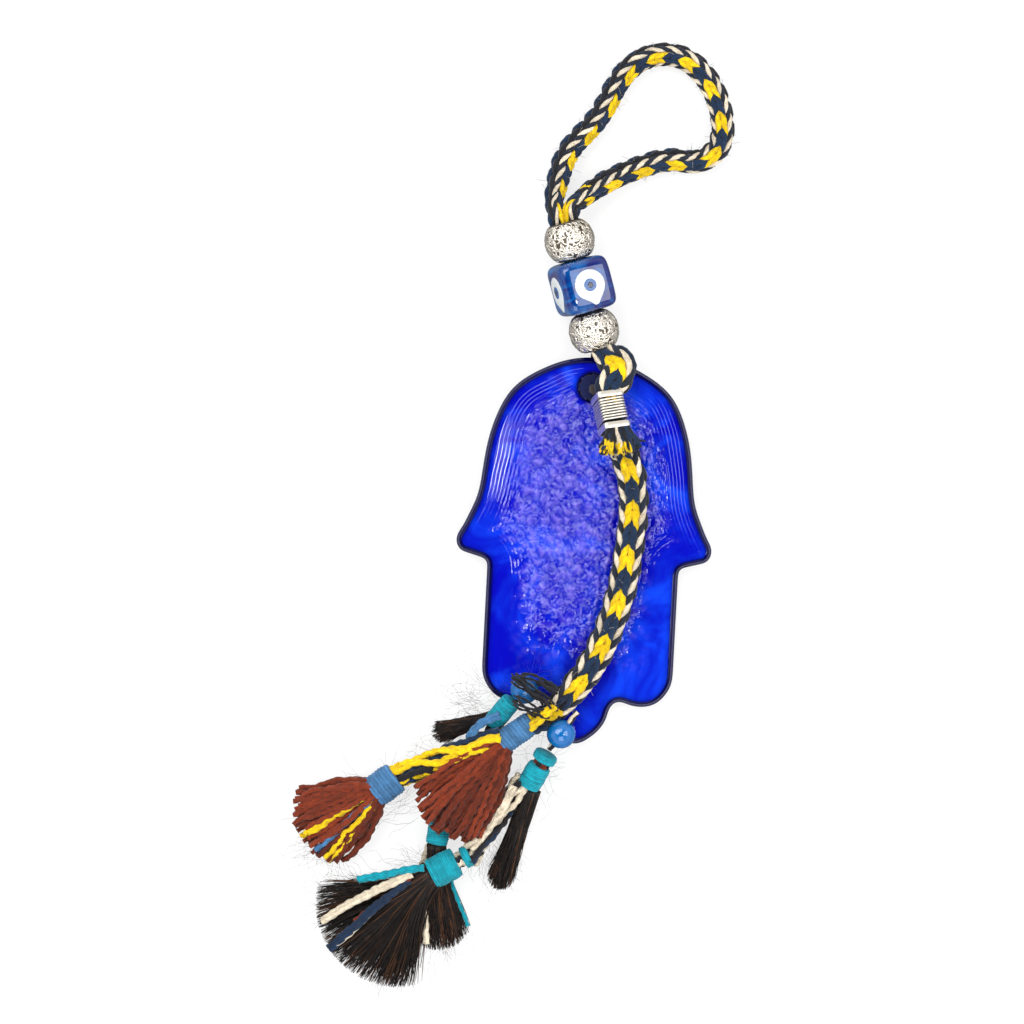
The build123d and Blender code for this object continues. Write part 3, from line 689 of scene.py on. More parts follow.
def braid(line, half_width, half_depth, row, roll, seed, start_row=0):
    """Stitches laid on an oval cord: each is a fat short yarn whose ends dive under its neighbours.

    A stitch's middle line is line(s) + w cos f side + d sin f up, where f drifts with s and both w and d
    shrink towards its ends. half_width, half_depth and roll are shares (place, value) along the line.
    """
    rng = np.random.default_rng(seed)
    places = lengths_along(line)
    total = places[-1]
    side, up, _ = line_frames(line)

    def sized(where, shares):
        """A width, depth or roll at a place along the line."""
        return np.interp(where / total, *zip(*shares))

    surfaces = []
    t = np.linspace(0, 1, STITCH_POINTS)
    dive = np.abs(2 * t - 1) ** STITCH_DIVE
    for middle, drift, reach, pitch, thick, shift, pattern in BRAID_COLUMNS:
        rows = np.arange(0, int(total / row), pitch)
        centre = (rows + 0.5 + shift) * row
        keep = centre < total
        rows, centre = rows[keep], centre[keep]
        where = np.clip(centre[:, None] + (t - 0.5) * reach * row, 0, total)
        angle = np.radians(90 + middle + drift * (t - 0.5)) + np.radians(sized(where, roll))
        angle = angle + rng.normal(0, 0.03, (len(rows), 1))
        wide, deep = sized(where, half_width), sized(where, half_depth)
        yarn = thick * wide * rng.uniform(0.94, 1.06, (len(rows), 1))
        sink = STITCH_SINK * yarn * dive
        out_w, out_d = wide - yarn * 0.85 - sink, deep - yarn * 0.85 - sink
        across = (out_w * np.cos(angle))[..., None] * unit(read_along(where, places, side))
        above = (out_d * np.sin(angle))[..., None] * unit(read_along(where, places, up))
        path = read_along(where, places, line) + across + above
        radius = yarn * (0.10 + 0.90 * (1 - dive))
        grid = tubes(path, radius, STITCH_SIDES, plies=2, twist_pitch=3.2, lobe=0.1)
        tint = stitch_colours(pattern, rows + start_row, rng)
        surfaces.append(surface(kept_above(grid, TABLE_CLEARANCE), tint))
    core = np.minimum(sized(places, half_width), sized(places, half_depth)) * CORE_SHARE
    surfaces.append(surface(tubes(line[None], core[None], 14), colour("black") * 0.7))
    return surfaces


def fuzz(line, reach, count, seed):
    """Loose fibres: thin bent tubes up to 4 mm long that stand off a line by reach."""
    rng = np.random.default_rng(seed)
    where = rng.integers(1, len(line) - 1, count)
    out = rng.normal(size=(count, 3))
    out[:, 2] = np.abs(out[:, 2])
    out = unit(out)
    along = unit(rng.normal(size=(count, 3)))
    t = np.linspace(0, 1, 7)[None, :, None]
    curl = unit(np.cross(out, along))
    size = 4.0 * rng.uniform(0.4, 1.0, (count, 1, 1))
    start = line[where][:, None] + out[:, None] * reach * 0.9
    path = start + size * t * unit(along[:, None] * 0.8 + out[:, None] * 0.25)
    path = path + size * 0.4 * (t ** 2) * curl[:, None] * rng.uniform(-1, 1, (count, 1, 1))
    tones = np.array((colour("black"), colour("cream") * 0.7, colour("brown")))
    tint = tones[rng.integers(0, len(tones), count)]
    return surface(tubes(kept_above(path, 0.2), 0.045, 3), tint)


def strands_between(starts, ends, start_heading, end_headings, points, wave, rng):
    """Cubic Bezier lines from starts to ends, leaving and arriving along given headings, with a slow wave."""
    t = np.linspace(0, 1, points)[None, :, None]
    size = np.linalg.norm(ends - starts, axis=1)[:, None]
    first = starts + start_heading * size * 0.3
    last = ends - end_headings * size * 0.35
    p0, p1, p2, p3 = (p[:, None, :] for p in (starts, first, last, ends))
    path = (1 - t) ** 3 * p0 + 3 * (1 - t) ** 2 * t * p1 + 3 * (1 - t) * t ** 2 * p2 + t ** 3 * p3
    side = unit(np.cross(UP, end_headings))[:, None, :]
    each = (len(starts), 1, 1)
    turns = rng.uniform(0.6, 1.6, each)
    phase = rng.uniform(0, 2 * np.pi, each)
    sway = wave * rng.uniform(0.3, 1.0, each) * t * np.sin(2 * np.pi * turns * t + phase)
    lift = wave * 0.5 * rng.uniform(-1, 1, each) * t * np.cos(2 * np.pi * turns * t + phase)
    return path + sway * side + lift * UP


def kinked(path, size, rng):
    """The same lines with small random bends every few millimetres, as spun wool keeps them."""
    places = lengths_along(path)
    side, up, _ = line_frames(path)
    shift = np.zeros_like(path)
    for axes in (side, up):
        for wave_length in (11.0, 6.5, 4.2):
            phase = rng.uniform(0, 2 * np.pi, (len(path), 1))
            stretch = rng.uniform(0.8, 1.25, (len(path), 1))
            wave = np.sin(2 * np.pi * places / wave_length * stretch + phase)
            shift = shift + (wave * np.minimum(places / 6, 1) * wave_length / 11)[..., None] * axes
    return path + shift * size


def fan(count, start, heading, pitch, length, spread, start_size, end_depth, end_height, seed, wave,
        ragged, points, thickness=0.9, bulge=0.0, kink=0.0):
    """Lines that leave a binding together and spread out into a fan resting near the table.

    Each line ends at angle spread times u from the heading, where u is evenly spread with some noise, and
    the ends lie in layers between end_height and end_height plus end_depth. With a bulge the lines start
    that many degrees further out and bend back in.
    """
    rng = np.random.default_rng(seed)
    u = np.linspace(-1, 1, count) + rng.normal(0, 0.08, count)
    rng.shuffle(u)
    v = rng.uniform(-1, 1, count)
    left, up, along = section_axes(heading, pitch)
    wide = start_size[0] / 2 * np.sqrt(np.maximum(1 - v ** 2 * 0.8, 0.1))
    starts = np.array(start) + (u * wide)[:, None] * left + (v * start_size[1] / 2)[:, None] * up
    leave = level_ways(np.radians(heading + (spread + bulge) * u), along[2]) if bulge else along
    arrive = level_ways(np.radians(heading + (spread - bulge) * u))
    reach = length * (1 - 0.1 * np.abs(u) ** 2) * (1 - ragged * rng.uniform(0, 1, count) ** 2)
    ends = np.array(start) + level_ways(np.radians(heading + spread * u)) * reach[:, None]
    ends[:, 2] = end_height + end_depth * (v + 1) / 2 * (1 - 0.5 * np.abs(u) ** 2)
    path = strands_between(starts, ends, leave, arrive, points, wave, rng)
    if kink:
        path = kinked(path, kink, rng)
    return kept_above(path, thickness + 0.1), u, rng


def taper(points, ends):
    """Share of a yarn's radius along its length: full, then thinner at the tip."""
    t = np.linspace(0, 1, points)
    return 1 - (1 - ends) * t ** 4


def plied_bundle(line, count, spread, yarn, tones, seed, points=60, twist=0.35, shrink=0.0):
    """Yarns that wind loosely round each other along a line: line + spread (cos a side + sin a up)."""
    rng = np.random.default_rng(seed)
    line = resample(line, points)
    side, up, _ = line_frames(line)
    t = np.linspace(0, 1, points)
    inner = np.where(np.arange(count) % 3 == 0, 0.35, 1.0)[:, None]
    reach = inner * spread * rng.uniform(0.85, 1.1, (count, 1)) * (1 - shrink + shrink * np.sin(np.pi * t))
    angle = circle(count)[:, None] + 2 * np.pi * twist * t
    angle = angle + 0.35 * np.sin(2 * np.pi * (2 * t + rng.uniform(0, 1, (count, 1))))
    path = line + (reach * np.cos(angle))[..., None] * side + (reach * np.sin(angle))[..., None] * up
    path = kept_above(kinked(path, 0.1 * yarn, rng), yarn + 0.05)
    tint = np.array([colour(tones[i % len(tones)]) for i in range(count)])
    tint = tint * rng.uniform(0.88, 1.12, (count, 1))
    return surface(tubes(path, yarn, 8, plies=2, twist_pitch=3.4, lobe=0.22), tint)


# Stage. Lamps: name, place, side and power, in metres and watts
LAMPS = (
    ("window_left", (-0.62, 0.40, 1.10), 0.8, 10.0),
    ("window_top", (-0.10, 0.70, 1.10), 0.6, 4.5),
    ("window_right", (0.78, 0.10, 1.05), 0.8, 7.5),
    ("window_low", (0.0, -0.78, 1.05), 0.8, 6.0),
    ("small_window", (0.42, -0.1, 1.2), 0.12, 1.2),
)
FLOOR_HALF, FLOOR_DROP = 3.0, 0.0002
FLOOR_TONE, FLOOR_TONE_REFLECTED, FLOOR_GLOW = 0.86, 0.22, 0.75
WHITE = (1, 1, 1, 1)


def table_material():
    """Pale table that glows to the camera and is darker in reflections."""
    made, tree, shader = new_material("pale_table")
    rays = add_node(tree, "ShaderNodeLightPath").outputs
    tones = [(tone, tone, tone, 1) for tone in (FLOOR_TONE, FLOOR_TONE_REFLECTED)]
    tone = mix_colours(tree, rays["Is Glossy Ray"], *tones)
    set_inputs(tree, shader, {"Base Color": tone, "Roughness": 0.9, "Specular IOR Level": 0.1})
    glow = add_node(tree, "ShaderNodeEmission", {"Color": WHITE, "Strength": 1.0}).outputs[0]
    share = maths(tree, "MULTIPLY", rays["Is Camera Ray"], FLOOR_GLOW)
    mixed = add_node(tree, "ShaderNodeMixShader", {0: share, 1: shader.outputs[0], 2: glow}).outputs[0]
    set_inputs(tree, tree.nodes["Material Output"], {"Surface": mixed})
    return made


def soft_room():
    """World that is bright near the horizon and dim overhead."""
    world = bpy.data.worlds.new("soft_room")
    world.use_nodes = True
    tree = world.node_tree
    way = add_node(tree, "ShaderNodeTexCoord").outputs["Generated"]
    height = add_node(tree, "ShaderNodeSeparateXYZ", {0: way}).outputs["Z"]
    strength = map_range(tree, height, 0.5, 0.93, 0.95, 0.07, smooth=True)
    set_inputs(tree, tree.nodes["Background"], {"Color": WHITE, "Strength": strength})
    return world


def add_lamp(name, place, side, power):
    """A square lamp that faces the frame's origin."""
    lamp = bpy.data.lights.new(name, "AREA")
    lamp.size, lamp.energy = side, power
    holder = bpy.data.objects.new(name, lamp)
    holder.location = place
    x, y, z = place
    holder.rotation_euler = (math.atan2(math.hypot(x, y), z), 0, math.atan2(y, x) + math.pi / 2)
    bpy.context.scene.collection.objects.link(holder)


class ORNAMENT_OT_stage(bpy.types.Operator):
    """Camera straight above the table, pale floor and soft light"""

    bl_idname = "ornament.stage"
    bl_label = "Stage"

    def execute(self, context):
        scene = context.scene
        lens = bpy.data.cameras.new("camera")
        lens.sensor_width = SENSOR_WIDTH
        lens.lens = SENSOR_WIDTH * (CAMERA_HEIGHT - SHARP_HEIGHT) * PIXELS_PER_MM / PHOTO_SIZE
        lens.clip_end = 20.0
        camera = bpy.data.objects.new("camera", lens)
        middle = photo_point(PHOTO_SIZE / 2, PHOTO_SIZE / 2, SHARP_HEIGHT)
        camera.location = (middle[0] * MM, middle[1] * MM, CAMERA_HEIGHT * MM)
        scene.collection.objects.link(camera)
        scene.camera = camera

        floor = bpy.data.meshes.new("floor")
        size = FLOOR_HALF
        corners = [(-size, -size, 0), (size, -size, 0), (size, size, 0), (-size, size, 0)]
        floor.from_pydata(corners, [], [(0, 1, 2, 3)])
        floor.materials.append(table_material())
        ground = bpy.data.objects.new("floor", floor)
        ground.location.z = CAD_BOX[0][2] - FLOOR_DROP
        scene.collection.objects.link(ground)

        scene.world = soft_room()
        for lamp in LAMPS:
            add_lamp(*lamp)
        scene.view_settings.view_transform = "Standard"
        return {"FINISHED"}


# Cords. Half width, half depth and roll as (share of the length, millimetres or degrees)
LOOP_WIDTH = ((0, 3.3), (0.06, 3.85), (0.94, 3.85), (1, 3.3))
LOOP_ROLL = ((0, 60), (0.28, 58), (0.38, 34), (0.5, 22), (0.62, 14), (0.69, -14), (0.76, -46), (1, -56))
LOOP_LEG_WIDTH = ((0, 2.7), (0.4, 3.0), (1, 3.2))
TAIL_WIDTH = ((0, 4.6), (0.08, 4.9), (0.9, 4.9), (1, 4.0))
TAIL_DEPTH = ((0, 3.8), (0.1, 3.85), (0.9, 3.85), (1, 3.5))
TAIL_ROLL = ((0, 8), (0.4, 6), (0.75, -4), (1, -8))
FRONT_WIDTH = ((0, 3.0), (0.2, 3.6), (0.34, 5.6), (0.55, 6.0), (0.7, 5.2), (0.8, 4.0), (1, 3.6))
FRONT_DEPTH = ((0, 1.8), (0.2, 2.0), (0.36, 3.4), (0.55, 3.6), (0.7, 2.8), (0.8, 2.0), (1, 1.9))
FRONT_ROLL = ((0, 0), (0.4, 14), (0.6, 0), (1, -18))


def cord_line(route):
    """Smooth line of a cord's route, in millimetres, as evenly spaced points."""
    return resample(smooth_line(np.array(route) / MM), 400)


class ORNAMENT_OT_hanging_loop(bpy.types.Operator):
    """Braided loop that hangs the ornament"""

    bl_idname = "ornament.hanging_loop"
    bl_label = "Hanging loop"

    def execute(self, context):
        line = cord_line(LOOP_ROUTE)
        surfaces = braid(line, LOOP_WIDTH, LOOP_WIDTH, sizes().loop_row, LOOP_ROLL, 11)
        piece = make_piece("hanging_loop_braid", surfaces, wool(), "loop", ["hanging_loop"])
        mouth, left, _, along = column_axes()
        top = mouth + along * (COLUMN_LENGTH - 1.0)
        legs = []
        for end, inner, side, turn in ((line[0], line[14], 2.3, 60), (line[-1], line[-15], -2.3, -56)):
            leg = resample(smooth_line([top + left * side, top + left * side + along * 4.5, end, inner]), 60)
            roll = ((0, turn), (1, turn))
            legs += braid(leg, LOOP_LEG_WIDTH, LOOP_LEG_WIDTH, sizes().loop_row, roll, 17)
        make_piece("hanging_loop_mouth", legs, wool(), "loop")
        make_piece("hanging_loop_fuzz", [fuzz(line, 4.0, 260, 3)], hair(), "loop")
        return {"FINISHED"}


class ORNAMENT_OT_tail_braid(bpy.types.Operator):
    """Braided tail over the glass"""

    bl_idname = "ornament.tail_braid"
    bl_label = "Tail braid"

    def execute(self, context):
        line = cord_line(TAIL_ROUTE)
        surfaces = braid(line, TAIL_WIDTH, TAIL_DEPTH, sizes().tail_row, TAIL_ROLL, 23, start_row=2)
        piece = make_piece("tail_braid_yarns", surfaces, wool(), "tail", ["tail_braid"])
        make_piece("tail_braid_fuzz", [fuzz(line, 4.4, 240, 5)], hair(), "tail")
        return {"FINISHED"}


class ORNAMENT_OT_cord_legs(bpy.types.Operator):
    """The doubled cord in the beads, over the rim and behind the glass"""

    bl_idname = "ornament.cord_legs"
    bl_label = "Doubled cord"

    def execute(self, context):
        upper, lower = (tubes(line[None], 1.85, 14, plies=3, flat=1.6) for line in column_passes())
        line, row = cord_line(FRONT_LEG_ROUTE), sizes().tail_row * 0.95
        surfaces = braid(line, FRONT_WIDTH, FRONT_DEPTH, row, FRONT_ROLL, 31, start_row=1)
        surfaces.append(surface(upper, colour("black")))
        make_piece("front_cord_yarns", surfaces, wool(), "cord", ["front_cord_leg"])

        rear = tubes(cord_line(REAR_LEG_ROUTE)[None], 1.5, 16, plies=4, twist_pitch=7.0)
        depth = np.linspace(-GLASS_HALF - 0.6, GLASS_HALF + 0.4, 24)
        in_hole = HOLE_CENTRE + depth[:, None] * hand_axes()[2]
        over = np.clip((depth - GLASS_HALF + 1.0) / 1.4, 0, 1)
        knot = 4.4 * np.sqrt(np.maximum(1 - over ** 2.4, 0.02))
        base, _, _, along = clamp_axes()
        in_clamp = base + np.linspace(0.3, CLAMP_LENGTH - 0.3, 14)[:, None] * along
        yarns = [
            surface(rear, colour("black") * 0.8 + colour("brown") * 0.2),
            surface(lower, colour("navy") * 0.6),
            # Knot of dark yarn in the hole, its tone mostly the glass rim's painted shade, so it reads as
            # shadow in the glass.
            surface(
                tubes(in_hole[None], knot[None], 44, plies=7, twist_pitch=9.0, lobe=0.07),
                colour("navy") * 0.3 + colour("glass_rim_painted_shade") * 0.9,
            ),
            surface(
                tubes(in_clamp[None], 3.5, 36, plies=9, twist_pitch=30.0, lobe=0.05), colour("black") * 0.7,
            ),
        ]
        make_piece("rear_cord_yarns", yarns, wool(), "cord", ["rear_cord_leg"])
        return {"FINISHED"}


def column_axes():
    """Mouth of the lowest large bead, and the column's left, up and forward axes."""
    return (COLUMN_MOUTH, *section_axes(COLUMN_HEADING, COLUMN_PITCH))


def column_passes():
    """Two lines of squeezed cord in the beads: above each other at the rim, side by side on top."""
    mouth, left, up, along = column_axes()
    t = np.linspace(0, 1, 30)[:, None]
    turn = np.radians(90 * t)
    out = 1.9 * (up * np.cos(turn) - left * np.sin(turn))
    base = mouth + along * COLUMN_LENGTH * t
    return np.stack((base + out, base - out))


def turned_body(centre, along, ring, radius, height):
    """Points of a turned body: centre + height along + radius ring."""
    return centre + height[:, None, None] * along + radius[..., None] * ring


# Silver beads: columns and rows of the relief, twigs, their joints, step, radius and how far they stand out
EMBOSS_COLUMNS, EMBOSS_ROWS = 300, 130
TWIGS, TWIG_JOINTS, TWIG_STEP, TWIG_RADIUS = 760, 7, 0.38, 0.36
TWIG_BASE, TWIG_HEIGHT = 0.34, 0.52


def twig_relief(across, along_axis, reach_x, reach_y, seed):
    """Height 0 to 1 of bent twigs laid over each other on an unrolled band.

    Near a twig's line it is the twig's height times the square root of 1 - d^2 / r^2.
    """
    rng = np.random.default_rng(seed)
    start = rng.uniform((0, -reach_y), (reach_x, reach_y), (TWIGS, 2))
    turn = rng.uniform(0, 2 * np.pi, (TWIGS, 1))
    turn = turn + rng.normal(0, 0.5, (TWIGS, 1)) * np.linspace(0, 1.6, TWIG_JOINTS)
    step = np.stack((np.cos(turn), np.sin(turn)), axis=-1) * TWIG_STEP
    lines = start[:, None] + np.cumsum(step, axis=1)
    tall = rng.uniform(0.7, 1.0, TWIGS)
    height = np.zeros(across.shape)
    for line, top in zip(lines, tall):
        dx = np.abs((across[..., None] - line[:, 0] + reach_x / 2) % reach_x - reach_x / 2)
        dy = along_axis[..., None] - line[:, 1]
        ridge = np.sqrt(np.maximum(1 - (dx ** 2 + dy ** 2).min(axis=-1) / TWIG_RADIUS ** 2, 0))
        height = np.where(ridge > 0.02, ridge * top, height)
    return height


class ORNAMENT_OT_silver_beads(bpy.types.Operator):
    """Two large metal beads with embossed twigs"""

    bl_idname = "ornament.silver_beads"
    bl_label = "Silver beads"

    def execute(self, context):
        material = silver_material()
        mouth, left, up, along = column_axes()
        half = BEAD_LENGTH / 2
        limit = math.asin(half / BEAD_RADIUS)
        angle = circle(EMBOSS_COLUMNS)
        lat = np.linspace(-limit, limit, EMBOSS_ROWS)
        height, radius = BEAD_RADIUS * np.sin(lat), BEAD_RADIUS * np.cos(lat)
        band_x = np.broadcast_to(angle * BEAD_RADIUS, (EMBOSS_ROWS, EMBOSS_COLUMNS))
        band_y = np.broadcast_to((lat * BEAD_RADIUS)[:, None], (EMBOSS_ROWS, EMBOSS_COLUMNS))
        fade = np.clip((half - np.abs(height)) / 0.6, 0, 1)[:, None]
        bore_z = np.array((half, half - 0.4, 0.0, -half + 0.4, -half))
        bore_r = np.array((BORE_RADIUS + 0.15, BORE_RADIUS, BORE_RADIUS, BORE_RADIUS, BORE_RADIUS + 0.15))
        all_z = np.concatenate((height, bore_z))
        ring = ring_around(angle, up, left)
        for name, start, seed, body in (
            ("lower_silver_bead", 0.0, 4, "lower_bead"),
            ("upper_silver_bead", COLUMN_LENGTH - BEAD_LENGTH, 9, "upper_bead"),
        ):
            relief = fade * twig_relief(band_x, band_y, 2 * np.pi * BEAD_RADIUS, limit * BEAD_RADIUS, seed)
            outer = radius[:, None] - TWIG_BASE + TWIG_HEIGHT * relief
            all_r = np.concatenate((outer, np.repeat(bore_r[:, None], EMBOSS_COLUMNS, axis=1)))
            mask = np.concatenate((relief, np.full((len(bore_z), EMBOSS_COLUMNS), 0.25)))
            grid = turned_body(mouth + along * (start + half), along, ring, all_r, all_z)
            part = surface(grid[None], colour("silver"), closed_rows=True)
            extra = {"relief": np.clip(mask * 1.9 - 0.35, 0, 1)}
            make_piece(f"{name}_embossed", [part], material, body, [name], extra)
        return {"FINISHED"}


# Cube bead: eye layers by node, slot, radius, point radius, point reach, thickness and rise over the face
EYE_LAYERS = (
    ("eye_whites", "white_glass", (5.2, 1.3, 5.6, 0.3, 0.02)),
    ("eye_irises", "sky_glass", (2.15, 2.15, 0.0, 0.14, 0.28)),
    ("eye_pupils", "dark_glass", (0.95, 0.95, 0.0, 0.12, 0.40)),
)
EYE_TURN = 97.5
CUBE_COLUMNS, CUBE_ROWS, CUBE_BORE_ROWS = 160, 90, 4


def cube_height(x, y):
    """Height of the rounded cube's face over its middle plane: |x|^n + |y|^n + |z|^n is constant."""
    half, n = CUBE_SIDE / 2, CUBE_ROUNDNESS
    rest = 1 - np.abs(x / half) ** n - np.abs(y / half) ** n
    return half * np.maximum(rest, 0.001) ** (1 / n)


def eye_patch(radius, point_radius, reach, thick, rise):
    """A domed drop on a face of the cube: the outline round two circles, drawn in towards its middle."""
    turn = np.linspace(-np.pi, np.pi, 96, endpoint=False)
    limit = math.acos((radius - point_radius) / reach) if reach else 0.0
    ring = np.stack((np.cos(turn), np.sin(turn)), axis=-1)
    small = np.array((reach, 0)) + point_radius * ring
    outline = np.where((np.abs(turn) < limit)[:, None], small, radius * ring)
    middle = np.array((reach * 0.25, 0))
    share = np.concatenate((np.sin(np.linspace(0.02, 0.5 * np.pi, 16)), (1.0,)))
    flat = middle + (outline - middle) * share[:, None, None]
    spin = math.radians(EYE_TURN)
    x = flat[..., 0] * math.cos(spin) - flat[..., 1] * math.sin(spin)
    y = flat[..., 0] * math.sin(spin) + flat[..., 1] * math.cos(spin)
    dome = rise + thick * np.sqrt(np.maximum(1 - share ** 2, 0))
    dome[-1] = -0.5
    return x, y, cube_height(x, y) + dome[:, None]


class ORNAMENT_OT_cube_bead(bpy.types.Operator):
    """Rounded cube of blue glass with an inlaid eye on each side face"""

    bl_idname = "ornament.cube_bead"
    bl_label = "Cube bead"

    def execute(self, context):
        mouth, left, up, along = column_axes()
        centre = mouth + along * (BEAD_LENGTH + BEAD_GAP + CUBE_SIDE / 2)
        across, above = turned_axes(left, up, CUBE_ROLL)
        half, n = CUBE_SIDE / 2, CUBE_ROUNDNESS
        angle = circle(CUBE_COLUMNS)
        square = (np.abs(np.cos(angle)) ** n + np.abs(np.sin(angle)) ** n) ** (-1 / n)
        turn = np.linspace(-np.pi / 2, np.pi / 2, CUBE_ROWS)
        rise = np.sign(np.sin(turn)) * np.abs(np.sin(turn)) ** (2 / n)
        run = np.abs(np.cos(turn)) ** (2 / n)
        outer = np.maximum(run[:, None] * square * half, BORE_RADIUS)
        radius = np.concatenate((outer, np.full((CUBE_BORE_ROWS, CUBE_COLUMNS), BORE_RADIUS)))
        height = np.concatenate((rise * half, np.linspace(half, -half, CUBE_BORE_ROWS + 2)[1:-1]))
        wobble = 1 + 0.006 * np.sin(3 * angle + height[:, None] * 0.5)
        grid = turned_body(centre, along, ring_around(angle, across, above), radius * wobble, height)
        part = surface(grid[None, :, ::-1], colour("cube"), closed_rows=True)
        blue = enamel_material(
            "swirled_blue_glass", colour("cube"), colour("cube_light"), 110.0, low=0.38, high=0.66,
        )
        make_piece("cube_bead_glass", [part], blue, "cube", ["cube_bead"])

        white = enamel_material("white_enamel", (0.6, 0.63, 0.63), (0.5, 0.58, 0.64), 300.0)
        sky = enamel_material("sky_enamel", colour("sky") * 0.55, colour("cube") * 2.5, 500.0)
        dark = enamel_material("dark_enamel", (0.004, 0.004, 0.02), (0.01, 0.02, 0.07), 500.0)
        for (name, slot, shape), material in zip(EYE_LAYERS, (white, sky, dark)):
            x, y, z = (values[..., None] for values in eye_patch(*shape))
            surfaces = []
            for quarter in range(4):
                level, out = turned_axes(across, above, 90 * quarter)
                drop = centre + x * level + y * np.cross(out, level) + z * out
                surfaces.append(surface(drop[None, :, ::-1], colour("sky")))
            make_piece(f"{name}_inlaid", surfaces, material, "cube", [name])
        return {"FINISHED"}


# Glass hand: points round the outline, and rows on the front, the rim and the back
HAND_COLUMNS, FACE_ROWS, RIM_ROWS, BACK_ROWS = 400, 190, 12, 22
DOMES = 500


def hand_axes():
    """Axes of the glass plate: to its right, to its top and out of its front."""
    tilt = math.asin(RIM_LIFT / HAND_LENGTH)
    lean = math.radians(-HAND_LEAN)
    right = np.array((math.cos(lean), math.sin(lean), 0))
    front = np.array((math.sin(tilt) * math.sin(lean), -math.sin(tilt) * math.cos(lean), math.cos(tilt)))
    return right, np.cross(front, right), front


def hand_outline(count):
    """Evenly spaced outline points of the plate in its own plane, read from the frame's own solid."""
    right, top, front = hand_axes()
    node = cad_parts["glass_hand"]
    points = np.zeros(len(node.data.vertices) * 3)
    node.data.vertices.foreach_get("co", points)
    local = points.reshape(-1, 3) / MM - HOLE_CENTRE
    flat = np.stack((local @ right, local @ top), axis=1)
    edge = flat[np.abs(local @ front) < 0.3]
    edge = edge[np.hypot(edge[:, 0], edge[:, 1]) > HOLE_RADIUS + 1]
    edge = np.unique(np.round(edge, 2), axis=0)
    edge = edge[np.argsort(np.arctan2(edge[:, 1], edge[:, 0]))]
    even = resample(np.concatenate((edge, edge[:1])), count + 1)[:-1]
    for _ in range(3):
        even = (np.roll(even, 1, axis=0) + 2 * even + np.roll(even, -1, axis=0)) / 4
    return even


def distance_to(outline, x, y):
    """Distance from each place to the nearest outline point."""
    nearest = np.full(x.shape, 1e9)
    for group in np.array_split(outline, 20):
        gap = (x[..., None] - group[:, 0]) ** 2 + (y[..., None] - group[:, 1]) ** 2
        nearest = np.minimum(nearest, gap.min(axis=-1))
    return np.sqrt(nearest)


def hammered_share(y, rim):
    """How strongly a place of the plate is hammered: fully in the middle, hardly near the rim and fingers."""
    return ramp(rim, 8.0, 9.0) * ramp(y, -104, 40.0, low=0.12)


def ridged_share(y, rim):
    """How strongly a place has ridges along the rim: in a band next to it, hardly on the fingers."""
    return ramp(rim, 2.4, 1.0) * ramp(rim, 19.0, -7.0) * ramp(y, -76, 40, low=0.12)


def hand_relief(x, y, rim):
    """Broad relief of the front: many shallow overlapping domes and hollows in the hammered middle.

    Each is h (1 - d^2 / r^2)^1.5 within its radius r.
    """
    rng = np.random.default_rng(8)
    centres = rng.uniform((-34, -112), (34, -6), (DOMES, 2))
    size = rng.uniform(1.8, 4.6, DOMES)
    tall = rng.uniform(-0.7, 0.9, DOMES) * 0.045 * size
    relief = np.zeros_like(x)
    for group in np.array_split(np.arange(DOMES), 25):
        d2 = (x[..., None] - centres[group, 0]) ** 2 + (y[..., None] - centres[group, 1]) ** 2
        relief += (tall[group] * np.maximum(1 - d2 / size[group] ** 2, 0) ** 1.5).sum(axis=-1)
    return relief * hammered_share(y, rim)


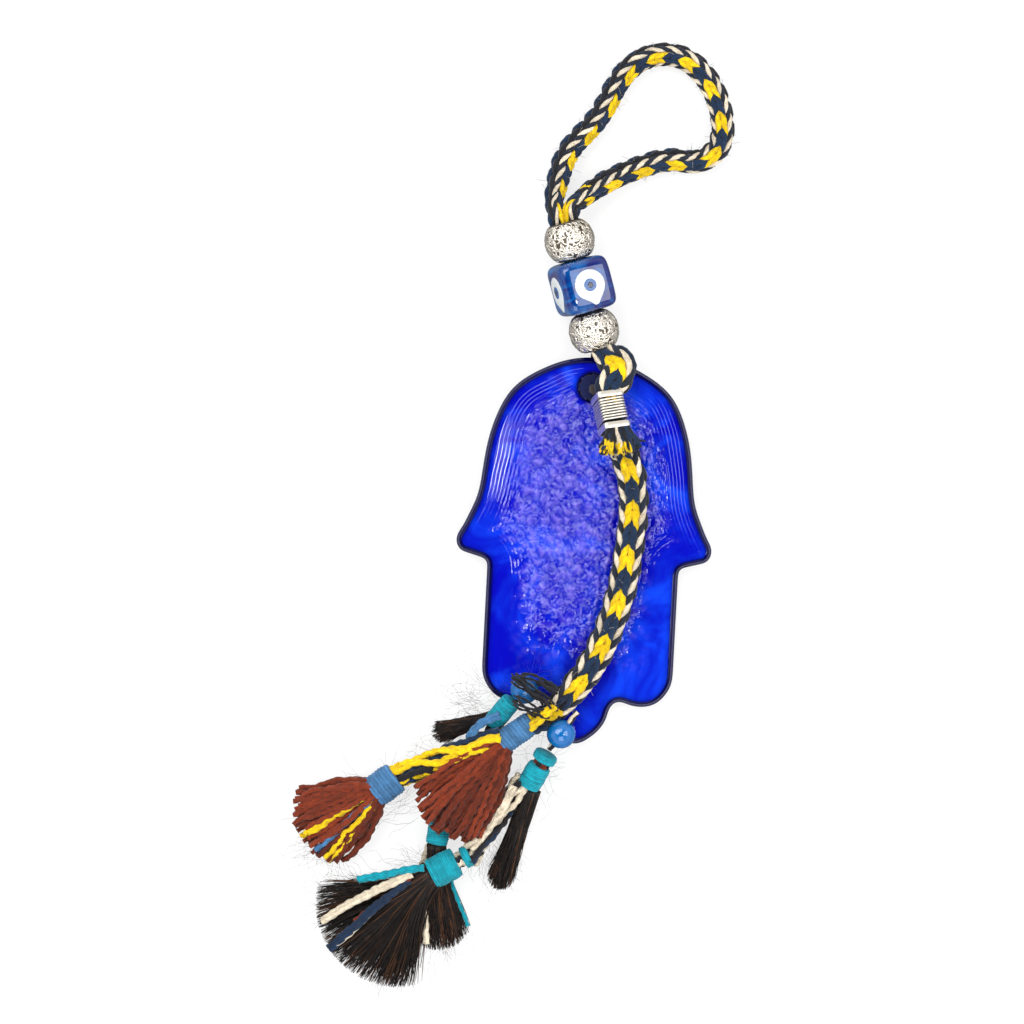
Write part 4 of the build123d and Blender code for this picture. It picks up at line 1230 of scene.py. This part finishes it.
class ORNAMENT_OT_glass_hand(bpy.types.Operator):
    """Cast glass hand with a hammered middle and ridges that follow its rim"""

    bl_idname = "ornament.glass_hand"
    bl_label = "Glass hand"

    def execute(self, context):
        right, top, front = hand_axes()
        outline = hand_outline(HAND_COLUMNS)
        tangent = unit(np.roll(outline, -1, axis=0) - np.roll(outline, 1, axis=0))
        inward = np.stack((-tangent[:, 1], tangent[:, 0]), axis=1)
        inset = outline + inward * RIM_ROUNDING
        hole = unit(outline) * HOLE_RADIUS
        hole_lip = unit(outline) * (HOLE_RADIUS + 0.5)
        face = hole_lip + (inset - hole_lip) * np.linspace(0, 1, FACE_ROWS)[:, None, None]
        x, y = face[..., 0], face[..., 1]
        rim, off_hole = distance_to(outline, x, y), np.hypot(x, y) - HOLE_RADIUS
        calm = ramp(off_hole, 0.6, 2.0)
        face_z = GLASS_HALF - 0.22 + hand_relief(x, y, rim) * calm
        turn = np.linspace(0, np.pi, RIM_ROWS + 2)[1:-1][:, None]
        side = outline + inward * RIM_ROUNDING * (1 - np.sin(turn))[..., None]
        side_z = np.broadcast_to((GLASS_HALF - 0.1) * np.cos(turn), side.shape[:2])
        back = hole_lip + (inset - hole_lip) * np.linspace(1, 0, BACK_ROWS)[:, None, None]
        back_z = np.full(back.shape[:2], -GLASS_HALF + 0.02)
        wall = np.stack((hole, hole))
        wall_z = np.array((-GLASS_HALF + 0.5, GLASS_HALF - 0.6))[:, None] * np.ones(HAND_COLUMNS)
        flat = np.concatenate((face, side, back, wall))
        z = np.concatenate((face_z, side_z, back_z, wall_z))
        grid = HOLE_CENTRE + flat[..., :1] * right + flat[..., 1:] * top + z[..., None] * front
        part = surface(grid[None], colour("glass"), closed_rows=True)
        # Painted shade: the face darkens near its outline and round the hole; the side and the hole's wall
        # are fully dark, the back partly.
        painted_rim_shade = np.maximum(np.clip(1.15 - rim / 3.4, 0, 1) ** 1.5, np.clip(1.3 - off_hole / 1.2, 0, 1))
        rest = ((0, len(flat) - FACE_ROWS), (0, 0))
        fields = {
            "rim": np.concatenate((
                painted_rim_shade, np.ones(side.shape[:2]), np.full(back.shape[:2], 0.3), np.ones(wall.shape[:2]),
            )),
            "edge": np.pad(rim, rest),
            "ridges": np.pad(ridged_share(y, rim) * calm, rest),
            "hammer": np.pad(hammered_share(y, rim) * calm, rest),
        }
        material = glass_material()
        make_piece("cast_glass_hand", [part], material, "hand", ["glass_hand"], fields)
        return {"FINISHED"}


# Wire clamp: turns of the coil, points in a turn, wire radius, half thickness of the bands
COIL_TURNS, COIL_POINTS, WIRE_RADIUS = 8, 72, 0.36
BAND_HALF = 0.42
CORNER_POWER = 9.0


def clamp_axes():
    """Top of the clamp and its across, upright and forward axes."""
    return (CLAMP_TOP, *section_axes(CLAMP_HEADING, CLAMP_PITCH, CLAMP_ROLL))


def round_rectangle(angle, half_width, half_depth):
    """Points of a rounded rectangle: |x/a|^n + |y/b|^n = 1, with the corner points crowded evenly."""
    cos, sin = np.cos(angle), np.sin(angle)
    scale = (np.abs(cos) ** CORNER_POWER + np.abs(sin) ** CORNER_POWER) ** (-1 / CORNER_POWER)
    return half_width * cos * scale, half_depth * sin * scale


class ORNAMENT_OT_wire_clamp(bpy.types.Operator):
    """Wire wound round a rectangle between two flat end bands"""

    bl_idname = "ornament.wire_clamp"
    bl_label = "Wire clamp"

    def execute(self, context):
        base, across, above, along = clamp_axes()
        material = wire_material()
        half_width, half_depth = CLAMP_WIDTH / 2, CLAMP_DEPTH / 2
        first, last = BAND_LENGTH + 0.45, CLAMP_LENGTH - BAND_LENGTH - 0.45
        t = np.linspace(0, 1, COIL_TURNS * COIL_POINTS)
        x, y = round_rectangle(2 * np.pi * COIL_TURNS * t, half_width - WIRE_RADIUS, half_depth - WIRE_RADIUS)
        run = first + (last - first) * t
        centre = base + run[:, None] * along + x[:, None] * across + y[:, None] * above
        ahead = unit(np.gradient(centre, axis=0))
        out = unit(np.cross(ahead, along))
        ring = ring_around(circle(10), out[:, None], np.cross(ahead, out)[:, None])
        coil = surface((centre[:, None] + WIRE_RADIUS * ring)[None], colour("silver"))
        make_piece("clamp_wire", [coil], material, "cord", ["clamp_winding"])

        section = circle(16)
        cos, sin = np.cos(section), np.sin(section)
        out_shift = BAND_HALF * np.sign(cos) * np.abs(cos) ** 0.7
        run_shift = BAND_LENGTH / 2 * np.sign(sin) * np.abs(sin) ** 0.55
        x, y = round_rectangle(
            circle(144)[:, None], half_width - BAND_HALF + out_shift, half_depth - BAND_HALF + out_shift,
        )
        surfaces = []
        for place in (0.0, CLAMP_LENGTH - BAND_LENGTH):
            ring = base + (place + BAND_LENGTH / 2 + run_shift)[:, None] * along
            grid = ring + x[..., None] * across + y[..., None] * above
            surfaces.append(surface(grid[None, :, ::-1], colour("silver"), closed_rows=True))
        make_piece("clamp_bands", surfaces, material, "cord", ["clamp_end_bands"])
        return {"FINISHED"}


class ORNAMENT_OT_cut_end(bpy.types.Operator):
    """Frayed cut end of the cord just below the clamp"""

    bl_idname = "ornament.cut_end"
    bl_label = "Cut end"

    def execute(self, context):
        base, across, above, along = clamp_axes()
        start = base + above * 2.3 + along * (CLAMP_LENGTH - 0.4)
        count, points = 170, 14
        rng = np.random.default_rng(12)
        u, v = rng.uniform(-1, 1, count), rng.uniform(-1, 1, count)
        starts = start + (u * 3.6)[:, None] * across + (v * 1.7)[:, None] * above
        spread = 0.55 * np.sign(u) * np.abs(u) ** 1.5
        ways = unit(along + spread[:, None] * across + (v * 0.14 - 0.1)[:, None] * above)
        reach = 9.6 * (1 - 0.22 * rng.uniform(0, 1, count)) * (1 - 0.1 * u ** 2)
        ends = starts + ways * reach[:, None]
        leave = np.broadcast_to(along, ends.shape)
        path = kinked(strands_between(starts, ends, leave, ways, points, 0.8, rng), 0.25, rng)
        tones = np.where((rng.uniform(0, 1, count) < 0.45)[:, None], colour("black"), colour("navy"))
        tones = np.where((np.abs(u + 0.12) < 0.07)[:, None], colour("cream"), tones)
        tones = np.repeat((tones * rng.uniform(0.8, 1.2, (count, 1)))[:, None, None], points, axis=1)
        yellow = (u < 0.4) & (v > -0.1) & (rng.uniform(0, 1, count) < 0.75)
        tips = (np.linspace(0, 1, points) > 0.66)[None, :] & yellow[:, None]
        tones = np.where(tips[..., None, None], colour("yellow"), tones)
        part = surface(tubes(path, 0.5 * taper(points, 0.6), 7, plies=2, twist_pitch=3.0), tones)
        make_piece("cut_end_tuft", [part], wool(), "tail", ["cut_end"])
        return {"FINISHED"}


# Strands: name, route, yarns, spread, yarn radius, colours, seed
STRANDS = (
    ("left_strand", LEFT_STRAND_ROUTE, 4, 0.6, 0.58, ("black", "black", "navy"), 41),
    ("right_strand", RIGHT_STRAND_ROUTE, 4, 0.6, 0.58, ("black", "cream", "navy"), 42),
    ("centre_strand", CENTRE_STRAND_ROUTE, 14, 2.8, 1.15,
     ("navy", "yellow", "yellow", "black", "navy", "cream", "black"), 43),
)


class ORNAMENT_OT_strands(bpy.types.Operator):
    """Three strands into which the tail divides"""

    bl_idname = "ornament.strands"
    bl_label = "Strands"

    def execute(self, context):
        for name, route, count, spread, yarn, tones, seed in STRANDS:
            part = plied_bundle(smooth_line(np.array(route) / MM), count, spread, yarn, tones, seed)
            make_piece(f"{name}_yarns", [part], wool(), "tail", [name])
        return {"FINISHED"}


class ORNAMENT_OT_small_beads(bpy.types.Operator):
    """Two glossy round beads on the side strands"""

    bl_idname = "ornament.small_beads"
    bl_label = "Small beads"

    def execute(self, context):
        blue = enamel_material("small_bead_blue", colour("sky") * 0.9, colour("cube_light") * 0.9, 220.0)
        limit = math.acos(SMALL_BORE_RADIUS / SMALL_BEAD_RADIUS)
        lat = np.linspace(-limit, limit, 48)
        bore = np.linspace(0.8, -0.8, 5) * SMALL_BEAD_RADIUS * math.sin(limit)
        radius = np.append(SMALL_BEAD_RADIUS * np.cos(lat), np.full(len(bore), SMALL_BORE_RADIUS))
        height = np.append(SMALL_BEAD_RADIUS * np.sin(lat), bore)
        for name, route, share, body in (
            ("left_small_bead", LEFT_STRAND_ROUTE, LEFT_BEAD_SHARE, "left_bead"),
            ("right_small_bead", RIGHT_STRAND_ROUTE, RIGHT_BEAD_SHARE, "right_bead"),
        ):
            start, end = np.array(route[-2]) / MM, np.array(route[-1]) / MM
            centre, along = start + (end - start) * share, unit(end - start)
            left = unit(np.cross(UP, along))
            ring = ring_around(circle(72), left, np.cross(along, left))
            grid = turned_body(centre, along, ring, radius[:, None], height)
            part = surface(grid[None], colour("sky"), closed_rows=True)
            make_piece(f"{name}_glossy", [part], blue, body, [name])
        return {"FINISHED"}


# Bindings: body, start, heading, pitch, length, diameter across and diameter upright
BINDINGS = {
    "centre_wrap": ("centre_tassel", (10.7, -38.57, 10.1), -145.1, 0, 13.4, 8.4, 8.2),
    "centre_end_wrap": ("centre_end", (-34.81, -57.07, 5.63), -143.7, 0, 10.0, 11.4, 10.2),
    "left_wrap": ("tail", (3.64, -31.53, 9.7), -129.4, -21.6, 11.6, 7.0, 7.0),
    "left_end_wrap": ("left_end", (-20.05, -71.24, 4.51), -100.0, 0, 9.0, 7.6, 7.6),
    "right_top_band": ("tail", (15.41, -49.14, 9.4), -119.7, -15.6, 3.2, 8.2, 8.2),
    "right_wrap": ("tail", (13.11, -53.16, 8.11), -119.7, -15.6, 8.8, 8.2, 8.2),
    "right_end_band": ("right_end", (-10.23, -83.11, 7.39), -153.4, 0, 3.0, 7.6, 7.6),
    "right_end_wrap": ("right_end", (-14.52, -85.26, 7.39), -153.4, 0, 10.2, 10.6, 8.2),
}
THREAD_PITCH, YARN_PITCH = 0.76, 1.2


def binding(name, start, heading, pitch, length, wide, deep):
    """A binding of thread: turns side by side round a slightly barrel-shaped bundle, with folded-in ends.

    The radius falls from each turn's ridge by up to half a pitch, as the square root of |sin(pi turns)|. The
    colour follows it as painted shade in the dips and a painted highlight on the ridges.
    """
    left, up, along = section_axes(heading, pitch)
    turn_pitch = YARN_PITCH if name.startswith("centre") else THREAD_PITCH
    turns = length / turn_pitch
    t = np.linspace(0, 1, int(turns * 8))
    angle = circle(48)
    phase = turns * t[:, None] - angle[None, :] / (2 * np.pi)
    rng = np.random.default_rng(len(name) * 7 + int(length * 10))
    uneven = 1 + 0.025 * np.sin(2 * np.pi * (t[:, None] * 2.3 + rng.uniform())) * np.cos(angle - 1.0)
    ridge = 0.4 + 0.6 * np.sqrt(np.abs(np.sin(np.pi * phase)))
    swell = 1 - 0.10 * (2 * t[:, None] - 1) ** 4
    ends = np.sqrt(np.minimum(1, np.minimum(t, 1 - t)[:, None] * length / 0.5 + 0.25))
    dip = turn_pitch * 0.5 * (1 - ridge)
    across, above = ((size / 2 * swell * uneven - dip) * ends for size in (wide, deep))
    centre = np.array(start) + (t * length)[:, None] * along
    grid = centre[:, None] + (across * np.cos(angle))[..., None] * left
    grid = grid + (above * np.sin(angle))[..., None] * up
    turn_number = np.floor(phase).astype(int)
    tones = rng.uniform(0.8, 1.15, turn_number.max() - turn_number.min() + 2)
    # Each turn's own random tone, times painted shade in the dips between turns and a painted highlight on
    # the ridges.
    shade = tones[turn_number - turn_number.min()] * (0.45 + 0.6 * ridge)
    return grid[None], shade[None, ..., None]


class ORNAMENT_OT_bindings(bpy.types.Operator):
    """Thread wound tightly round the tassels"""

    bl_idname = "ornament.bindings"
    bl_label = "Bindings"

    def execute(self, context):
        for name, (body, *place) in BINDINGS.items():
            steel = name.startswith("centre")
            grid, shade = binding(name, *place)
            part = surface(grid, colour("steel_blue" if steel else "turquoise") * shade)
            make_piece(f"{name}_thread", [part], thread(), body, [name])
        return {"FINISHED"}


# Yarns between bindings: piece, body, node, slot, run (start, heading, pitch, length, more at both ends),
# yarns, spread, yarn radius, colours, seed, and what differs from the usual bundle
LINKS = (
    ("centre_link_yarns", "centre_tassel", "centre_link", "yarn_bundle",
     ((-2.56, -45.08, 10.1), -159.6, -7.4, 33.5, 3.0), 19, 3.4, 0.98,
     ("navy", "yellow", "yellow", "navy", "yellow", "yellow", "black", "navy", "steel_blue", "yellow",
      "navy"),
     51, {"twist": 0.34, "shrink": 0.15}),
    ("left_link_yarns", "tail", "left_link", "dark_wool",
     ((-2.49, -41.9, 4.99), -120.9, -0.8, 33.0, 3.0), 9, 1.9, 0.8,
     ("black", "cream", "navy", "black"), 52, {"twist": 0.5}),
    ("right_link_yarns", "tail", "right_link", "dark_wool",
     ((6.39, -60.41, 5.42), -126.2, 4.0, 27.0, 3.0), 13, 2.9, 0.95,
     ("black", "cream", "cream", "navy", "black", "cream", "brown"), 53, {"twist": 0.4}),
    ("right_gap_yarns_shown", "tail", "right_gap_yarns", "dark_wool",
     ((13.88, -51.82, 8.54), -119.7, -15.6, 1.6, 1.5), 9, 2.0, 0.9,
     ("brown", "red_brown", "black"), 54, {"points": 12, "twist": 0.1}),
    ("right_end_gap_yarns_shown", "right_end", "right_end_gap_yarns", "dark_wool",
     ((-12.91, -84.45, 7.39), -153.4, 0, 1.8, 1.5), 9, 2.0, 0.9,
     ("black", "cream", "black"), 55, {"points": 12, "twist": 0.1}),
)


def straight(start, heading, pitch, length, more):
    """Ends and middle of a straight run that starts a little earlier and ends a little later."""
    places = np.array((-more, length * 0.35, length * 0.7, length + more))
    return np.array(start) + places[:, None] * heading_vector(heading, pitch)


class ORNAMENT_OT_yarn_links(bpy.types.Operator):
    """Loose yarns between the first and the second binding of each tassel"""

    bl_idname = "ornament.yarn_links"
    bl_label = "Yarn links"

    def execute(self, context):
        for name, body, node, slot, run, count, spread, yarn, tones, seed, other in LINKS:
            part = plied_bundle(smooth_line(straight(*run)), count, spread, yarn, tones, seed, **other)
            make_piece(name, [part], wool(), body, [node])
        return {"FINISHED"}


# Wool fringes: name, body, yarns more than the panel's, seed, single colours (colour, place u, half width
# in u), and the fan's start, heading, pitch, length, spread, first size, depth and height of the ends
FRINGES = (
    ("centre_fringe", "centre_tassel", 0, 61, (),
     ((0.6, -46.4, 10.1), -129.0, 4.0, 36.5, 24.0, (6.0, 5.0), 4.4, 9.6),
     {"wave": 1.3, "points": 56, "bulge": 11.0}),
    ("centre_end_fringe", "centre_end", 10, 62,
     (("yellow", -0.05, 0.07), ("yellow", 0.62, 0.05), ("steel_blue", 0.35, 0.05)),
     ((-42.0, -62.4, 5.63), -147.0, 0.0, 29.5, 32.0, (8.4, 7.4), 5.8, 1.2),
     {"wave": 1.2, "points": 48, "bulge": 13.0}),
)


class ORNAMENT_OT_wool_fringes(bpy.types.Operator):
    """Red-brown wool fringes of the centre tassel"""

    bl_idname = "ornament.wool_fringes"
    bl_label = "Wool fringes"

    def execute(self, context):
        for name, body, more, seed, singles, place, shape in FRINGES:
            count = sizes().fringe_count + more
            path, u, rng = fan(count, *place, seed, kink=0.17, ragged=0.2, **shape)
            tones = colour("red_brown") * rng.uniform(0.5, 1.45, (count, 1))
            for tone, middle, half in singles:
                tones = np.where((np.abs(u - middle) < half)[:, None], colour(tone), tones)
            yarn = sizes().yarn_radius * taper(shape["points"], 0.8)
            part = surface(tubes(path, yarn, 7, plies=2, twist_pitch=3.4, lobe=0.24), tones)
            make_piece(f"{name}_wool", [part], wool(), body, [name])
        return {"FINISHED"}


# Hair locks: name, body, share of the panel's hairs, seed, and the fan's start, heading, pitch, length,
# spread, first size, depth and height of the ends
HAIR_LOCKS = (
    ("left_hair", "tail", 0.2, 71, ((-3.0, -37.4, 5.4), -163.0, -4.0, 21.0, 11.0, (4.0, 2.6), 2.2, 0.8)),
    ("right_hair", "right_lock", 0.5, 72,
     ((10.4, -61.2, 5.4), -109.4, -3.0, 36.0, 7.5, (5.6, 4.8), 3.0, 1.4)),
    ("left_end_hair", "left_end", 0.6, 73,
     ((-21.6, -79.6, 3.6), -89.0, 0.0, 36.0, 17.0, (5.6, 4.6), 1.8, 0.5)),
    ("right_end_hair", "right_end", 1.0, 74,
     ((-22.6, -89.4, 7.2), -137.5, -4.0, 43.5, 35.0, (9.0, 6.4), 3.6, 0.6)),
)
HAIR_POINTS = 14

# Single yarns that lie on the hair: name, body, colour, yarns, spread, then pixels of the photograph with
# heights in millimetres
ACCENTS = (
    ("left_end_white_yarns", "left_end", "cream", 2, 0.75,
     ((430, 846, 3.2), (419, 876, 1.75), (424, 905, 3.2), (427, 944, 2.8))),
    ("left_end_turquoise_thread", "left_end", "turquoise", 1, 0.0,
     ((444, 850, 3.4), (450, 880, 2.8), (460, 905, 2.6), (468, 926, 1.4))),
    ("right_end_white_yarns", "right_end", "cream", 2, 0.9,
     ((412, 874, 10.4), (388, 886, 10.4), (352, 902, 7.6), (322, 922, 4.4))),
    ("right_end_red_yarns", "right_end", "red_brown", 1, 0.0,
     ((410, 878, 10.0), (396, 890, 9.8), (376, 904, 7.8), (354, 921, 5.4))),
    ("right_end_navy_yarns", "right_end", "navy", 3, 1.1,
     ((410, 880, 9.0), (384, 900, 8.4), (356, 926, 5.8), (330, 950, 3.6))),
    ("right_end_low_white_yarns", "right_end", "cream", 1, 0.0,
     ((400, 886, 8.6), (376, 908, 7.0), (356, 930, 5.4), (334, 948, 4.2))),
    ("right_end_turquoise_yarns", "right_end", "turquoise", 3, 0.8,
     ((424, 868, 11.0), (404, 870, 11.0), (384, 876, 9.6), (358, 880, 7.6))),
    ("left_bead_black_strand", "tail", "black", 5, 1.7,
     ((552, 706, 16.0), (536, 694, 17.0), (524, 686, 17.0), (513, 677, 13.0))),
    ("left_bead_black_loop", "tail", "black", 4, 1.6,
     ((556, 694, 16.0), (540, 681, 17.4), (528, 676, 17.0), (519, 679, 14.0))),
    ("tail_end_black_strand", "tail", "black", 5, 1.8,
     ((548, 716, 15.0), (532, 712, 17.0), (522, 704, 16.8), (514, 700, 14.6))),
    ("tail_end_yellow_yarns", "tail", "yellow", 2, 1.0,
     ((555, 706, 15.4), (546, 714, 16.6), (538, 722, 16.0), (531, 729, 13.6))),
    ("left_wrap_blue_loop", "tail", "steel_blue", 2, 0.8,
     ((500, 716, 12.0), (484, 722, 12.4), (474, 730, 11.6), (468, 742, 9.0))),
    ("right_wrap_white_strand", "tail", "cream", 2, 0.8,
     ((514, 786, 9.6), (506, 806, 10.4), (492, 826, 10.4), (472, 850, 9.0))),
)
BLACK_YARN, PAIRED_YARN, SINGLE_YARN = 0.36, 0.85, 0.65


def accent_yarns():
    """Yarns that run over the hair locks, each a few plies side by side."""
    for name, body, tone, count, spread, points in ACCENTS:
        line = smooth_line([photo_point(*point) for point in points])
        yarn = BLACK_YARN if tone == "black" else PAIRED_YARN if count > 1 else SINGLE_YARN
        part = plied_bundle(line, count, spread, yarn, (tone,), len(name), points=40, twist=0.15)
        make_piece(name, [part], wool(), body)


class ORNAMENT_OT_hair_locks(bpy.types.Operator):
    """Locks of dark hair on the side tassels, and the single yarns on them"""

    bl_idname = "ornament.hair_locks"
    bl_label = "Hair locks"

    def execute(self, context):
        for name, body, share, seed, place in HAIR_LOCKS:
            count = int(sizes().hair_count * share)
            path, u, rng = fan(
                count, *place, seed, wave=0.9, ragged=0.34, points=HAIR_POINTS, thickness=0.25,
            )
            streak = 0.5 + 0.5 * np.sin(u * 9 + seed) * np.cos(u * 23)
            pick = rng.uniform(0, 1, count) < 0.06 + 0.4 * streak ** 3
            tones = np.where(pick[:, None], colour("brown"), colour("hair"))
            tones = tones * rng.uniform(0.6, 1.3, (count, 1))
            part = surface(tubes(path, sizes().hair_radius * taper(HAIR_POINTS, 0.4), 4), tones)
            make_piece(f"{name}_lock", [part], hair(), body, [name])
        accent_yarns()
        return {"FINISHED"}


# Where stray hairs start: pixel, heading, spread in degrees, count, body and height
STRAY_HAIRS = (
    ((486, 704), 165, 60, 60, "tail", 8.0), ((455, 760), 165, 60, 50, "centre_tassel", 10.0),
    ((392, 797), 110, 120, 60, "centre_end", 6.0), ((330, 840), -160, 60, 60, "centre_end", 3.0),
    ((480, 800), -100, 120, 60, "centre_tassel", 10.0), ((536, 765), -60, 110, 40, "tail", 8.0),
    ((428, 872), 185, 50, 60, "right_end", 8.0), ((360, 900), 175, 50, 90, "right_end", 4.0),
    ((400, 945), -110, 60, 80, "right_end", 2.4), ((444, 912), -95, 38, 70, "left_end", 2.2),
    ((495, 850), -80, 40, 50, "right_lock", 4.0), ((540, 700), 120, 160, 60, "tail", 14.0),
)
STRAY_RADIUS = 0.03


class ORNAMENT_OT_stray_hairs(bpy.types.Operator):
    """Fine loose hairs that stand out round the tassels"""

    bl_idname = "ornament.stray_hairs"
    bl_label = "Stray hairs"

    def execute(self, context):
        by_body = {}
        for seed, (pixel, heading, spread, count, body, height) in enumerate(STRAY_HAIRS):
            rng = np.random.default_rng(200 + seed)
            starts = photo_point(*pixel, height) + rng.normal(0, 1, (count, 3)) * (4.0, 4.0, 1.0)
            turn = np.radians(heading + rng.uniform(-spread, spread, count))
            ways = level_ways(turn)
            ends = starts + ways * rng.uniform(5, 16, (count, 1))
            ends[:, 2] = np.clip(ends[:, 2] + rng.uniform(-5, 3, count), 0.4, None)
            first = level_ways(np.radians(rng.uniform(-50, 50, count)) + turn, 0.2)
            path = kept_above(strands_between(starts, ends, first, ways, 14, 1.6, rng), 0.3)
            tone = np.where((rng.uniform(0, 1, count) < 0.4)[:, None], colour("brown"), colour("hair"))
            by_body.setdefault(body, []).append(surface(tubes(path, STRAY_RADIUS, 3), tone))
        for body, surfaces in by_body.items():
            make_piece(f"{body}_stray_hairs", surfaces, hair(), body)
        return {"FINISHED"}


class ORNAMENT_PT_panel(bpy.types.Panel):
    """Sizes, colours and buttons for each group of pieces"""

    bl_label = "Hamsa Hand Ornament"
    bl_idname = "ORNAMENT_PT_panel"
    bl_space_type = "VIEW_3D"
    bl_region_type = "UI"
    bl_category = "Ornament"

    def draw(self, context):
        for group in (context.scene.ornament_sizes, context.scene.ornament_colours):
            box = self.layout.box()
            for key in group.__annotations__:
                box.prop(group, key)
        for step in STEPS:
            self.layout.operator(step.bl_idname)


STEPS = (
    ORNAMENT_OT_stage,
    ORNAMENT_OT_hanging_loop,
    ORNAMENT_OT_tail_braid,
    ORNAMENT_OT_cord_legs,
    ORNAMENT_OT_silver_beads,
    ORNAMENT_OT_cube_bead,
    ORNAMENT_OT_glass_hand,
    ORNAMENT_OT_wire_clamp,
    ORNAMENT_OT_cut_end,
    ORNAMENT_OT_strands,
    ORNAMENT_OT_small_beads,
    ORNAMENT_OT_bindings,
    ORNAMENT_OT_yarn_links,
    ORNAMENT_OT_wool_fringes,
    ORNAMENT_OT_hair_locks,
    ORNAMENT_OT_stray_hairs,
)
CLASSES = (OrnamentColours, OrnamentSizes, *STEPS, ORNAMENT_PT_panel)


def register():
    for kind in CLASSES:
        bpy.utils.register_class(kind)
    bpy.types.Scene.ornament_colours = bpy.props.PointerProperty(type=OrnamentColours)
    bpy.types.Scene.ornament_sizes = bpy.props.PointerProperty(type=OrnamentSizes)


def unregister():
    del bpy.types.Scene.ornament_sizes
    del bpy.types.Scene.ornament_colours
    for kind in reversed(CLASSES):
        bpy.utils.unregister_class(kind)


def main():
    register()
    bpy.ops.ornament.stage()
    bpy.ops.ornament.hanging_loop()
    bpy.ops.ornament.tail_braid()
    bpy.ops.ornament.cord_legs()
    bpy.ops.ornament.silver_beads()
    bpy.ops.ornament.cube_bead()
    bpy.ops.ornament.glass_hand()
    bpy.ops.ornament.wire_clamp()
    bpy.ops.ornament.cut_end()
    bpy.ops.ornament.strands()
    bpy.ops.ornament.small_beads()
    bpy.ops.ornament.bindings()
    bpy.ops.ornament.yarn_links()
    bpy.ops.ornament.wool_fringes()
    bpy.ops.ornament.hair_locks()
    bpy.ops.ornament.stray_hairs()
    bpy.context.view_layer.update()


if __name__ == "__main__":
    main()
